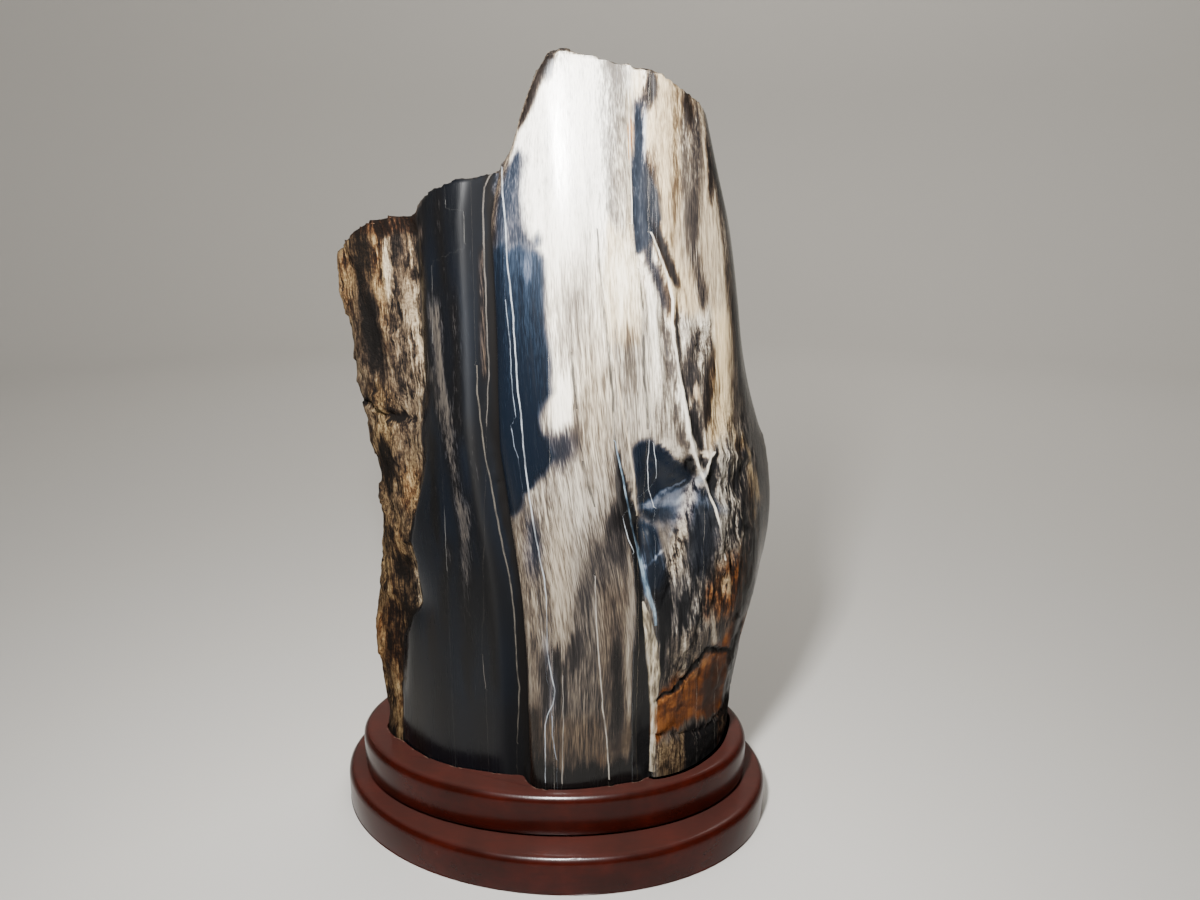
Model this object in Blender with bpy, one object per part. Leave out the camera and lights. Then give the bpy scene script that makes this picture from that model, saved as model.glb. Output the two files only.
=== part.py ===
"""Petrified wood: a tall slab of fossil trunk, polished on its front, standing in a
two-tier lacquered wooden stand whose upper board has a seat cut to the foot of the stone.

Metres, +Z up, front towards -Y, origin at the bottom centre of the stand."""
import math

import bmesh
import bpy
from mathutils import Vector, noise

MM = 0.001

# The stand: two rounded boards, the upper one set a little forward and turned less.
BASE_HALF_WIDTH = 129.6 * MM
BASE_HALF_DEPTH = 95.0 * MM
BASE_TURN = math.radians(-8.5)
BASE_THICKNESS = 22.0 * MM
TIER_HALF_WIDTH = 117.2 * MM
TIER_HALF_DEPTH_FRONT = 75.5 * MM
TIER_HALF_DEPTH_BACK = 82.0 * MM
TIER_TURN = math.radians(-4.5)
TIER_FORWARD = 3.5 * MM
STAND_HEIGHT = 47.7 * MM
EDGE_RADIUS = 5.0 * MM
OUTLINE_POINTS = 72

# The seat in the upper board, and the gap between pieces that touch.
SEAT_DEPTH = 12.4 * MM
TOUCH_GAP = 0.3 * MM
SEAT_CLEARANCE = 1.007

# The stone's foot is a plain prism as far as a little above the stand.
STONE_FOOT = STAND_HEIGHT - SEAT_DEPTH + TOUCH_GAP
FOOT_TOP = STAND_HEIGHT + 3.0 * MM
BROKEN_TOP_START = 318.0 * MM
BODY_ROWS = 40
TOP_ROWS = 11
CAP_ROWS = 4

# Lines that run up the stone, from left to right across its front. Each point is a height,
# a place across and a place front to back, in mm, and the last point is on the broken top.
LEFT_END = ((50, -101, -8), (85, -104, -7), (110, -106, -6), (156, -102, -6), (204, -98, -6),
            (245, -105, -6), (290, -110, -6), (318, -113, -7), (332, -111, -8))
BARK_FRONT = ((50, -94, -20), (110, -95, -20), (200, -87, -20), (270, -87, -22), (350, -88, -22))
BARK_INNER = ((50, -87, -23), (110, -85, -24), (128, -82, -25), (141, -74, -26), (165, -78, -26),
              (188, -77, -26), (216, -70, -26), (250, -66, -26), (350, -65, -27))
LOBE_EDGE = ((50, -84, -29), (110, -81, -31), (128, -78, -32), (141, -70, -35), (165, -74, -34),
             (188, -73, -34), (216, -66, -35), (250, -62, -35), (358, -60, -34))
LOBE_FACE = ((50, -60, -47), (120, -56, -48), (200, -50, -50), (280, -47, -48), (366, -45, -44))
LOBE_RIGHT = ((50, -19, -58), (120, -21, -57), (200, -27, -55), (246, -34, -53), (300, -32, -51),
              (348, -33, -48), (369, -29, -46))
GROOVE = ((50, -14, -57), (120, -15, -55), (200, -21, -52), (246, -28, -49), (300, -26, -48),
          (348, -27, -45), (371, -22, -43))
COLUMN_LEFT = ((50, -10, -67), (120, -10, -65), (200, -15, -62), (246, -22, -59), (300, -20, -58),
               (348, -21, -55), (377, -15, -51))
COLUMN_SHOULDER = ((50, 4, -71), (120, 4, -70), (200, 0, -68), (250, -6, -66), (300, -7, -64),
                   (350, -7, -61), (394, -8, -56))
COLUMN_CORNER = ((50, 20, -70), (200, 14, -70), (300, 9, -67), (350, 8, -65), (421, 5, -56))
COLUMN_FACE = ((50, 38, -66), (200, 31, -68), (300, 27, -67), (350, 27, -64), (420, 26, -56))
CRACK_LEFT = ((50, 52, -62), (108, 51, -64), (138, 54, -65), (164, 49, -66), (189, 44, -66),
              (242, 50, -65), (310, 46, -64), (361, 41, -61), (417, 41, -54))
CRACK = ((50, 55, -58), (108, 54, -60), (138, 58, -60), (164, 53, -62), (189, 48, -62),
         (242, 53, -64), (310, 50, -62), (361, 45, -56), (416, 45, -50))
CRACK_RIGHT = ((50, 58, -61), (108, 58, -62), (138, 62, -62), (164, 57, -62), (189, 52, -62),
               (242, 57, -63), (310, 53, -61), (361, 48, -59), (416, 52, -52))
FLANK_RIDGE = ((50, 78, -52), (110, 82, -52), (169, 88, -52), (216, 82, -56), (264, 72, -58),
               (323, 63, -56), (361, 62, -54), (409, 65, -46))
RIGHT_EDGE = ((50, 98, -29), (110, 105, -30), (148, 112, -30), (183, 112, -29), (215, 110, -30),
              (249, 102, -33), (300, 97, -35), (350, 89, -37), (400, 78, -37))
RIGHT_END = ((50, 108, 2), (85, 110, 0), (113, 115, -2), (145, 122, -2), (184, 127, -2), (222, 123, -3),
             (253, 113, -5), (282, 106, -6), (310, 102, -7), (345, 96, -9), (366, 89, -10), (390, 83, -12))
FRONT_LINES = (LEFT_END, BARK_FRONT, BARK_INNER, LOBE_EDGE, LOBE_FACE, LOBE_RIGHT, GROOVE, COLUMN_LEFT,
               COLUMN_SHOULDER, COLUMN_CORNER, COLUMN_FACE, CRACK_LEFT, CRACK, CRACK_RIGHT, FLANK_RIDGE,
               RIGHT_EDGE, RIGHT_END)
FRONT_FACES = (3, 2, 1, 3, 4, 1, 1, 3, 2, 3, 2, 1, 1, 3, 4, 3)

# Lines up the rough back, from left to right.
BACK_LEFT = ((50, -90, 22), (150, -93, 26), (250, -92, 26), (338, -96, 18))
BACK_LEFT_INNER = ((50, -56, 46), (200, -58, 50), (300, -56, 44), (352, -55, 34))
BACK_STEP = ((50, -22, 58), (200, -24, 62), (300, -22, 52), (368, -12, 34))
BACK_BARK = ((50, -4, 61), (200, -6, 66), (300, -6, 55), (360, -6, 36), (424, -7, 8))
BACK_MIDDLE = ((50, 28, 62), (200, 32, 67), (300, 28, 54), (422, 20, 14))
BACK_RIGHT_INNER = ((50, 66, 52), (200, 78, 55), (300, 66, 43), (411, 52, 10))
BACK_RIGHT = ((50, 96, 28), (200, 112, 28), (300, 93, 20), (398, 75, 0))
BACK_LINES = (LEFT_END, BACK_LEFT, BACK_LEFT_INNER, BACK_STEP, BACK_BARK, BACK_MIDDLE, BACK_RIGHT_INNER,
              BACK_RIGHT, RIGHT_END)
BACK_SAMPLES = 8

# Relief of the broken and bark surfaces.
BARK_POINTS_ON_FRONT = 6
BARK_RELIEF = 3.0 * MM
BARK_GRAIN_ACROSS = 14.0 * MM
BARK_GRAIN_ALONG = 45.0 * MM
BARK_LEDGE_HEIGHT = 244.0 * MM
BARK_LEDGE_DEPTH = 4.0 * MM
BARK_LEDGE_SLOPE = 0.35
TOP_RELIEF = 3.0 * MM
KNOT_CENTRE = Vector((72 * MM, 0.0, 202 * MM))
KNOT_HALF_WIDTH = 21 * MM
KNOT_HALF_HEIGHT = 30 * MM
KNOT_DEPTH = 7.0 * MM
CHIP_CENTRE = Vector((80 * MM, 0.0, 88 * MM))
CHIP_HALF_WIDTH = 20 * MM
CHIP_HALF_HEIGHT = 27 * MM
CHIP_DEPTH = 3.5 * MM
FLANK_CENTRE = Vector((86 * MM, 0.0, 176 * MM))
FLANK_HALF_WIDTH = 30 * MM
FLANK_HALF_HEIGHT = 75 * MM
FLANK_RELIEF = 2.4 * MM
FLANK_GRAIN_ACROSS = 9.0 * MM
FLANK_GRAIN_ALONG = 60.0 * MM


def clear_scene():
    for old in list(bpy.data.objects):
        bpy.data.objects.remove(old, do_unlink=True)


def new_collection(name):
    collection = bpy.data.collections.new(name)
    bpy.context.scene.collection.children.link(collection)
    return collection


def principled(name, colour, roughness, metallic=0.0):
    material = bpy.data.materials.new(name)
    material.use_nodes = True
    shader = material.node_tree.nodes["Principled BSDF"]
    shader.inputs["Base Color"].default_value = (*colour, 1.0)
    shader.inputs["Roughness"].default_value = roughness
    shader.inputs["Metallic"].default_value = metallic
    return material


def add_object(name, mesh, collection, material):
    piece = bpy.data.objects.new(name, mesh)
    collection.objects.link(piece)
    piece.data.materials.append(material)
    return piece


def board_outline(half_width, half_depth_front, half_depth_back, turn, forward):
    """An oval whose front and back halves may differ in depth, turned about Z, as 2D points."""
    points = []
    for step in range(OUTLINE_POINTS):
        angle = 2.0 * math.pi * step / OUTLINE_POINTS
        across = math.cos(angle) * half_width
        half_depth = half_depth_back if math.sin(angle) > 0.0 else half_depth_front
        along = math.sin(angle) * half_depth
        points.append((across * math.cos(turn) - along * math.sin(turn),
                       across * math.sin(turn) + along * math.cos(turn) - forward))
    return points


def rounded_board(name, outline, bottom, top, collection, material):
    """An extruded outline with both of its edges rounded to EDGE_RADIUS."""
    curve = bpy.data.curves.new(name, "CURVE")
    curve.dimensions = "2D"
    curve.fill_mode = "BOTH"
    curve.extrude = (top - bottom) / 2.0 - EDGE_RADIUS
    curve.bevel_depth = EDGE_RADIUS
    curve.bevel_resolution = 2
    curve.offset = -EDGE_RADIUS
    spline = curve.splines.new("POLY")
    spline.points.add(len(outline) - 1)
    for point, (across, along) in zip(spline.points, outline):
        point.co = (across, along, 0.0, 1.0)
    spline.use_cyclic_u = True
    guide = bpy.data.objects.new(name + "_outline", curve)
    collection.objects.link(guide)
    guide.location.z = (top + bottom) / 2.0
    bpy.context.view_layer.update()
    evaluated = guide.evaluated_get(bpy.context.evaluated_depsgraph_get())
    mesh = bpy.data.meshes.new_from_object(evaluated)
    mesh.transform(guide.matrix_world)
    mesh.name = name
    bpy.data.objects.remove(guide, do_unlink=True)
    weld_and_orient(mesh)
    return add_object(name, mesh, collection, material)


def weld_and_orient(mesh):
    shape = bmesh.new()
    shape.from_mesh(mesh)
    bmesh.ops.remove_doubles(shape, verts=shape.verts, dist=0.00001)
    bmesh.ops.recalc_face_normals(shape, faces=shape.faces)
    shape.to_mesh(mesh)
    shape.free()


def cut_flat_below(piece, height):
    """Cuts a piece off level at a height and closes the cut."""
    shape = bmesh.new()
    shape.from_mesh(piece.data)
    parts = shape.verts[:] + shape.edges[:] + shape.faces[:]
    cut = bmesh.ops.bisect_plane(shape, geom=parts, plane_co=(0.0, 0.0, height),
                                 plane_no=(0.0, 0.0, -1.0), clear_outer=True)
    rim = [part for part in cut["geom_cut"] if isinstance(part, bmesh.types.BMEdge)]
    bmesh.ops.contextual_create(shape, geom=rim)
    bmesh.ops.recalc_face_normals(shape, faces=shape.faces)
    shape.to_mesh(piece.data)
    shape.free()


def smooth_through(points, index, part):
    """The point a part of the way from points[index] to the next, on a curve through all of
    them whose slopes allow for unequal spacing."""
    here = points[index]
    ahead = points[index + 1]
    span = max((ahead - here).length, 1e-6)
    slopes = []
    for middle in (index, index + 1):
        before = points[max(middle - 1, 0)]
        after = points[min(middle + 1, len(points) - 1)]
        reach = (points[middle] - before).length + (after - points[middle]).length
        slopes.append((after - before) * (span / max(reach, 1e-6)))
    square = part * part
    cube = square * part
    return (here * (2.0 * cube - 3.0 * square + 1.0) + slopes[0] * (cube - 2.0 * square + part)
            + ahead * (3.0 * square - 2.0 * cube) + slopes[1] * (cube - square))


def point_on_line(line, height):
    """The place of a line of the stone at a height in metres. Below its first point it is plumb."""
    points = [Vector((across, along, level)) * MM for level, across, along in line]
    if height <= points[0].z:
        return Vector((points[0].x, points[0].y, height))
    for index in range(len(points) - 1):
        if height <= points[index + 1].z + 1e-9:
            part = (height - points[index].z) / (points[index + 1].z - points[index].z)
            place = smooth_through(points, index, part)
            return Vector((place.x, place.y, height))
    return points[-1].copy()


def row_height(line, row):
    """Rows are level up the body, then spread out to each line's own broken top."""
    if row <= BODY_ROWS:
        return STONE_FOOT + (BROKEN_TOP_START - STONE_FOOT) * row / BODY_ROWS
    top = line[-1][0] * MM
    return BROKEN_TOP_START + (top - BROKEN_TOP_START) * (row - BODY_ROWS) / TOP_ROWS


def front_of_row(row):
    points = [point_on_line(line, row_height(line, row)) for line in FRONT_LINES]
    places = [points[0]]
    for index, faces in enumerate(FRONT_FACES):
        for step in range(1, faces + 1):
            places.append(smooth_through(points, index, step / faces))
    return places


def back_of_row(row, front):
    """Points of the back at the same places across as the points of the front."""
    points = [point_on_line(line, row_height(line, row)) for line in BACK_LINES]
    fine = [points[0]]
    for index in range(len(points) - 1):
        for step in range(1, BACK_SAMPLES + 1):
            fine.append(smooth_through(points, index, step / BACK_SAMPLES))
    left = front[0].x
    width = front[-1].x - left
    places = []
    for place in front[1:-1]:
        share = (place.x - left) / width
        for here, ahead in zip(fine, fine[1:]):
            if ahead.x >= left + share * width:
                part = (left + share * width - here.x) / max(ahead.x - here.x, 1e-9)
                places.append(here.lerp(ahead, part))
                break
    return places


def bark_share(place, index):
    """How far a place on the side of the stone is bark: the band at the left and the whole back."""
    if index < BARK_POINTS_ON_FRONT:
        return 1.0
    return min(max((place.y + 2.0 * MM) / (16.0 * MM), 0.0), 1.0)


def dip(place, centre, half_width, half_height):
    """1 at the middle of an oval hollow on the front, falling to 0 at its rim."""
    across = (place.x - centre.x) / half_width
    up = (place.z - centre.z) / half_height
    return max(0.0, 1.0 - across * across - up * up)


def relief(place, index):
    """How far the side surface stands out at a place, in metres."""
    above_foot = min(max((place.z - FOOT_TOP) / (12.0 * MM), 0.0), 1.0)
    grain = Vector((place.x / BARK_GRAIN_ACROSS, place.y / BARK_GRAIN_ACROSS, place.z / BARK_GRAIN_ALONG))
    lumps = noise.noise(grain) + 0.6 * noise.noise(grain * 2.1)
    out = BARK_RELIEF * bark_share(place, index) * lumps
    if index < BARK_POINTS_ON_FRONT:
        from_ledge = abs(place.z - BARK_LEDGE_HEIGHT - BARK_LEDGE_SLOPE * (place.x + 85.0 * MM))
        out -= BARK_LEDGE_DEPTH * max(0.0, 1.0 - from_ledge / (6.0 * MM))
    if place.y < -20.0 * MM:
        knot = dip(place, KNOT_CENTRE, KNOT_HALF_WIDTH, KNOT_HALF_HEIGHT)
        out -= KNOT_DEPTH * knot * (0.75 + 0.9 * noise.noise(place * 70.0))
        out -= CHIP_DEPTH * math.sqrt(dip(place, CHIP_CENTRE, CHIP_HALF_WIDTH, CHIP_HALF_HEIGHT))
        flank = dip(place, FLANK_CENTRE, FLANK_HALF_WIDTH, FLANK_HALF_HEIGHT)
        fibres = Vector((place.x / FLANK_GRAIN_ACROSS, 0.0, place.z / FLANK_GRAIN_ALONG))
        out += FLANK_RELIEF * flank * noise.noise(fibres)
    return out * above_foot


def ring_of_row(row):
    """A closed ring round the stone: across the front, then back along the rear."""
    front = front_of_row(row)
    back = back_of_row(row, front)
    ring = front + back[::-1]
    middle = Vector((5.0 * MM, 0.0, 0.0))
    shaped = []
    for index, place in enumerate(ring):
        along = ring[(index + 1) % len(ring)] - ring[index - 1]
        outward = Vector((along.y, -along.x, 0.0)).normalized()
        if outward.dot(place - middle) < 0.0:
            outward = Vector((place.x - middle.x, place.y, 0.0)).normalized()
        shaped.append(place + outward * relief(place, index))
    return shaped


def stone_mesh(name):
    """A loft of unlike sections with its own flat foot and broken, stepped top."""
    shape = bmesh.new()
    rings = [[shape.verts.new(place) for place in ring_of_row(row)] for row in range(BODY_ROWS + TOP_ROWS + 1)]
    count = len(rings[0])
    for lower, upper in zip(rings, rings[1:]):
        for index in range(count):
            after = (index + 1) % count
            shape.faces.new((lower[index], lower[after], upper[after], upper[index]))
    across = count // 2
    close_end(shape, rings[0], across, 0.0)
    close_end(shape, rings[-1], across, TOP_RELIEF)
    bmesh.ops.recalc_face_normals(shape, faces=shape.faces)
    mesh = bpy.data.meshes.new(name)
    shape.to_mesh(mesh)
    shape.free()
    return mesh


def close_end(shape, ring, across, rise):
    """Closes an end with strips from the front edge to the back edge."""
    strips = []
    for index in range(1, across):
        front = ring[index]
        back = ring[len(ring) - index]
        strip = [front]
        for step in range(1, CAP_ROWS):
            place = front.co.lerp(back.co, step / CAP_ROWS)
            if rise:
                place.z += rise * (noise.noise(place * 60.0) - 0.5)
            strip.append(shape.verts.new(place))
        strip.append(back)
        strips.append(strip)
    for left, right in zip(strips, strips[1:]):
        for step in range(CAP_ROWS):
            shape.faces.new((left[step], right[step], right[step + 1], left[step + 1]))
    for corner, strip in ((ring[0], strips[0]), (ring[across], strips[-1])):
        for step in range(CAP_ROWS):
            shape.faces.new((corner, strip[step], strip[step + 1]))


def seat_cutter(collection):
    """The foot of the stone, a little larger all round, as a tool for the seat."""
    foot = ring_of_row(0)
    middle = sum(foot, Vector()) / len(foot)
    bottom = STAND_HEIGHT - SEAT_DEPTH
    shape = bmesh.new()
    rim = []
    for place in foot:
        wider = middle + (place - middle) * SEAT_CLEARANCE
        rim.append(shape.verts.new((wider.x, wider.y, bottom)))
    face = shape.faces.new(rim)
    raised = bmesh.ops.extrude_face_region(shape, geom=[face])
    lifted = [part for part in raised["geom"] if isinstance(part, bmesh.types.BMVert)]
    bmesh.ops.translate(shape, verts=lifted, vec=(0.0, 0.0, SEAT_DEPTH * 2.0))
    bmesh.ops.recalc_face_normals(shape, faces=shape.faces)
    mesh = bpy.data.meshes.new("seat_cutter")
    shape.to_mesh(mesh)
    shape.free()
    cutter = bpy.data.objects.new("seat_cutter", mesh)
    collection.objects.link(cutter)
    cutter.hide_render = True
    cutter.display_type = "WIRE"
    return cutter


def build_stand(parts, cutters):
    lacquer = principled("dark_red_lacquered_wood", (0.060, 0.013, 0.008), 0.22)
    base_outline = board_outline(BASE_HALF_WIDTH, BASE_HALF_DEPTH, BASE_HALF_DEPTH, BASE_TURN, 0.0)
    base = rounded_board("stand_base", base_outline, -2.0 * EDGE_RADIUS, BASE_THICKNESS, parts, lacquer)
    cut_flat_below(base, 0.0)
    tier_outline = board_outline(TIER_HALF_WIDTH, TIER_HALF_DEPTH_FRONT, TIER_HALF_DEPTH_BACK,
                                 TIER_TURN, TIER_FORWARD)
    tier = rounded_board("stand_upper_tier", tier_outline, BASE_THICKNESS + TOUCH_GAP, STAND_HEIGHT,
                         parts, lacquer)
    seat = tier.modifiers.new("seat", "BOOLEAN")
    seat.operation = "DIFFERENCE"
    seat.solver = "EXACT"
    seat.object = seat_cutter(cutters)


def build_stone(parts):
    fossil = principled("polished_petrified_wood", (0.22, 0.19, 0.15), 0.3)
    stone = add_object("petrified_wood", stone_mesh("petrified_wood"), parts, fossil)
    stone.data.shade_smooth()
    stone.data.set_sharp_from_angle(angle=math.radians(38.0))


clear_scene()
parts_collection = new_collection("petrified_wood")
cutter_collection = new_collection("cutters")
build_stand(parts_collection, cutter_collection)
build_stone(parts_collection)
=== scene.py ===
import math
import bmesh
import bpy
import numpy as np
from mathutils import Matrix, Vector, noise


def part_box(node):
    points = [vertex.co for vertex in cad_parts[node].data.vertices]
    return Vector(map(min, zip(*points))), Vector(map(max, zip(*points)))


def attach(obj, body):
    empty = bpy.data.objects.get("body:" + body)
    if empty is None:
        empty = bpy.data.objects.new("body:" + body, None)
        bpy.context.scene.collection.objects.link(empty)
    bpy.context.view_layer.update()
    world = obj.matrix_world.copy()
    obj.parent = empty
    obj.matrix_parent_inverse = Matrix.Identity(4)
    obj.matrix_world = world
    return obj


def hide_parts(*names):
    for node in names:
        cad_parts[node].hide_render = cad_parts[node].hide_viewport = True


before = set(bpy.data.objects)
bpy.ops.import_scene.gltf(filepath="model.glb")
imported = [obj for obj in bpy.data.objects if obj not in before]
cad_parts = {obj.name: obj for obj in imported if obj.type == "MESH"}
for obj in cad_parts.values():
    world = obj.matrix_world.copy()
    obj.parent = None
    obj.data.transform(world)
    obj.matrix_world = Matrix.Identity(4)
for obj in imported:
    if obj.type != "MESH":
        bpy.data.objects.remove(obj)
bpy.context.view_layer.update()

# The camera stands half a metre in front of the stone, level with its shoulder and tipped
# down a little, with the wide lens of a hand-held camera.
MM = 0.001
CAMERA_PLACE = (28.5 * MM, -495.7 * MM, 352.0 * MM)
CAMERA_TIP = math.radians(75.0)
LENS = 27.03
bpy.ops.object.select_all(action="DESELECT")
bpy.ops.object.camera_add(location=CAMERA_PLACE, rotation=(CAMERA_TIP, 0.0, 0.0))
camera = bpy.context.object
camera.data.lens = LENS
camera.data.sensor_width = 36.0
camera.data.clip_start = 0.01
bpy.context.scene.camera = camera

# The stone: one piece of trunk turned to chalcedony and agate, sawn and polished on its front,
# left as bark and broken rock at its left edge, its back and its stepped top. It stands in the
# seat by its own weight.
FOOT_TOP = 51.0
SAME_POINT = 0.02 * MM
SHARP_BREAK = math.radians(42.0)
SHAPE_GRAIN = 1.85 * MM


def pick(piece):
    """Makes a piece the only one that is selected, and the active one."""
    bpy.ops.object.select_all(action="DESELECT")
    bpy.context.view_layer.objects.active = piece
    piece.select_set(True)


fossil = bpy.data.objects.new("fossil_trunk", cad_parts["petrified_wood"].data.copy())
bpy.context.scene.collection.objects.link(fossil)
fossil.data.materials.clear()
pick(fossil)
bpy.ops.object.mode_set(mode="EDIT")
bpy.ops.mesh.select_all(action="SELECT")
bpy.ops.mesh.remove_doubles(threshold=SAME_POINT)
bpy.ops.mesh.tris_convert_to_quads()
bpy.ops.mesh.select_all(action="DESELECT")
bpy.ops.mesh.edges_select_sharp(sharpness=SHARP_BREAK)
bpy.ops.transform.edge_crease(value=0.75)
bpy.ops.object.mode_set(mode="OBJECT")
rounding = fossil.modifiers.new("rounding", "SUBSURF")
rounding.levels = rounding.render_levels = 1
even = fossil.modifiers.new("even", "REMESH")
even.mode = "VOXEL"
even.voxel_size = SHAPE_GRAIN
softened = fossil.modifiers.new("softened", "SMOOTH")
softened.factor = 0.5
softened.iterations = 2
for modifier in (rounding, even, softened):
    bpy.ops.object.modifier_apply(modifier=modifier.name)

# Everything that is broken or painted below is a field: one number for each point of the mesh.
# Noise vectors start from the clock unless a seed is set, and then the stone would never come
# out the same twice.
noise.seed_set(7)
count = len(fossil.data.vertices)
spots, facing = np.empty((2, count * 3), np.float32)
fossil.data.vertices.foreach_get("co", spots)
fossil.data.vertices.foreach_get("normal", facing)
spots, facing = (values.reshape(-1, 3).astype(float) for values in (spots, facing))
across, depth, height = (spots / MM).T


def fade(low, high, value):
    """0 below low, 1 above high and smooth between them."""
    part = np.clip((value - low) / (high - low), 0.0, 1.0)
    return part * part * (3.0 - 2.0 * part)


def line_at(points):
    """How far across, in mm, a line through (across, height) points lies at each vertex's height."""
    ordered = sorted(points, key=lambda point: point[1])
    return np.interp(height, [p[1] for p in ordered], [p[0] for p in ordered])


# The grain leans to the right on its way down the middle of the stone.
flow = across - line_at(((21, 50), (23, 130), (20, 160), (13, 200), (7, 240), (3, 300), (0, 380)))


def lumps(size_across, size_along, seed):
    """Smooth noise from -1 to 1 whose lumps have these sizes in mm, longer along the grain."""
    return np.array([noise.noise((f / size_across + seed, d / size_across, h / size_along))
                     for f, d, h in zip(flow, depth, height)])


def broken(size_across, size_along, seed):
    """Planes of broken stone: facets of these sizes in mm, each tipped its own way with a step beside it."""
    steps = np.empty(count)
    for index, (f, d, h) in enumerate(zip(flow, depth, height)):
        spot = Vector((f / size_across + seed, d / size_across, h / size_along))
        centre = noise.voronoi(spot)[1][0]
        tip = noise.noise_vector(centre * 5.3)
        steps[index] = 0.9 * tip.x + (spot - centre).dot(tip) * 1.3
    return steps


frayed = lumps(1.8, 16.0, 40.0)
brushed = lumps(5.0, 46.0, 44.0)
ragged_across = across + 0.5 * frayed + 1.7 * brushed
ragged_height = height + 3.5 * lumps(2.6, 30.0, 47.0) + 5.0 * brushed


def patch(x, z, half_width, half_height, lean=0.0, soft=0.6):
    """1 inside an oval, in mm, falling to 0 outside. lean is mm across for each mm up."""
    sideways = (ragged_across - x - lean * (height - z)) / half_width
    up = (ragged_height - z) / (half_height + 3.0)
    return 1.0 - fade(1.0 - soft, 1.0 + soft, np.sqrt(sideways ** 2 + up ** 2))


def stroke(points, width, soft=0.7, ragged=1.0, tail=4.0):
    """1 along a line through (across, height) points, as wide as given, with soft edges and drawn-out ends."""
    x = across + ragged * (ragged_across - across)
    z = height + ragged * (ragged_height - height)
    nearest = np.full(count, 1e6)
    for number, ((x0, z0), (x1, z1)) in enumerate(zip(points[:-1], points[1:])):
        length = math.hypot(x1 - x0, z1 - z0)
        along = ((x - x0) * (x1 - x0) + (z - z0) * (z1 - z0)) / length
        beside = ((x - x0) * (z1 - z0) - (z - z0) * (x1 - x0)) / length
        before = np.maximum(-along, 0.0) / (tail if number == 0 else 1.0)
        after = np.maximum(along - length, 0.0) / (tail if number == len(points) - 2 else 1.0)
        nearest = np.minimum(nearest, np.hypot(beside, before + after))
    return 1.0 - fade(1.0 - soft, 1.0 + soft, nearest / (0.5 * width))


def zone(left, right, soft=1.0, ends=8.0):
    """1 between two lines of (across, height) points, over the heights that both of them have."""
    low = max(min(p[1] for p in left), min(p[1] for p in right))
    high = min(max(p[1] for p in left), max(p[1] for p in right))
    inside = fade(-soft, soft, ragged_across - line_at(left)) * fade(soft, -soft, ragged_across - line_at(right))
    above = fade(low - ends / 2, low + ends / 2, ragged_height)
    return inside * above * fade(high + ends / 2, high - ends / 2, ragged_height)


GROOVE_LINE = ((-12, 50), (-13, 68), (-13.5, 122), (-15, 153), (-18, 179), (-21, 200), (-25, 234), (-25.5, 298),
               (-26, 326), (-26.5, 348), (-22, 372), (-20, 400))
BARK_LINE = ((-88, 40), (-88, 80), (-87, 90), (-84, 115), (-78, 130), (-71, 140), (-72, 150), (-72, 165), (-76, 175),
             (-73, 190), (-69, 205), (-66, 225), (-66, 250), (-64, 260), (-64, 352))
groove_off = across - line_at(GROOVE_LINE)
front = fade(0.15, -0.15, facing[:, 1]) * fade(-2.0, -8.0, depth)
bark_band = fade(1.8, -1.8, across + 1.5 * brushed - line_at(BARK_LINE)) * fade(12.0, 2.0, depth)
back = fade(-4.0, 8.0, depth)
skyward = fade(0.45, 0.75, facing[:, 2]) * fade(300.0, 320.0, height)
rough_rock = np.clip(np.maximum(np.maximum(bark_band, back), skyward), 0.0, 1.0)
free = fade(FOOT_TOP, FOOT_TOP + 6.0, height)

# The relief on it, in mm outwards: bark knobs, broken planes, splinters on the right flank, the
# hollow knot and its shell-like chips, and the deep groove beside the dark lobe.
RIDGE = ((51, 343), (53, 340), (57, 330), (60, 322), (63, 310), (63.5, 300), (66, 280), (69.5, 262), (73, 243),
    (79, 225), (84, 214), (89, 200), (91, 190), (95, 170))
coarse = lumps(11.0, 26.0, 3.1)
middling = lumps(4.6, 9.0, 8.7)
fine = lumps(2.1, 3.6, 5.5)
splinters = lumps(3.0, 40.0, 14.0)
strings = lumps(2.6, 22.0, 1.7)
small_planes = broken(9.0, 17.0, 3.0)
large_planes = broken(24.0, 58.0, 9.0)
flank = np.clip(zone(((52, 345), (56, 300), (54, 250), (48, 235), (46, 200), (50, 170), (56, 130), (57, 60)),
    ((58, 345), (72, 300), (90, 262), (90, 240), (112, 226), (116, 190), (116, 130), (110, 60)), soft=3.0), 0, 1)
stringy = np.clip(stroke(((97, 222), (98, 175)), 19) + stroke(((82, 165), (76, 128)), 25)
    + 0.8 * stroke(((75, 205), (63, 165)), 9) + 0.5 * stroke(((66, 295), (76, 250)), 10), 0.0, 1.0)
sugary = np.clip(patch(79, 288, 7, 11) + stroke(((75, 203), (63, 165)), 8) + patch(56, 62, 6, 12)
    + patch(69, 60, 9, 10) + patch(86, 59, 11, 9) + patch(102, 62, 7, 12), 0.0, 1.0)
chipped = patch(66, 212, 24, 26, soft=0.3)
facet = zone(((58, 97), (58, 74)), ((103, 97), (99, 74)), soft=2.0) + stroke(((72, 92), (95, 108)), 22)
facet = np.clip(facet, 0.0, 1.0)
shell = np.abs(lumps(19.0, 17.0, 12.0)) + 0.5 * np.abs(lumps(8.0, 7.0, 15.0))

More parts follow.
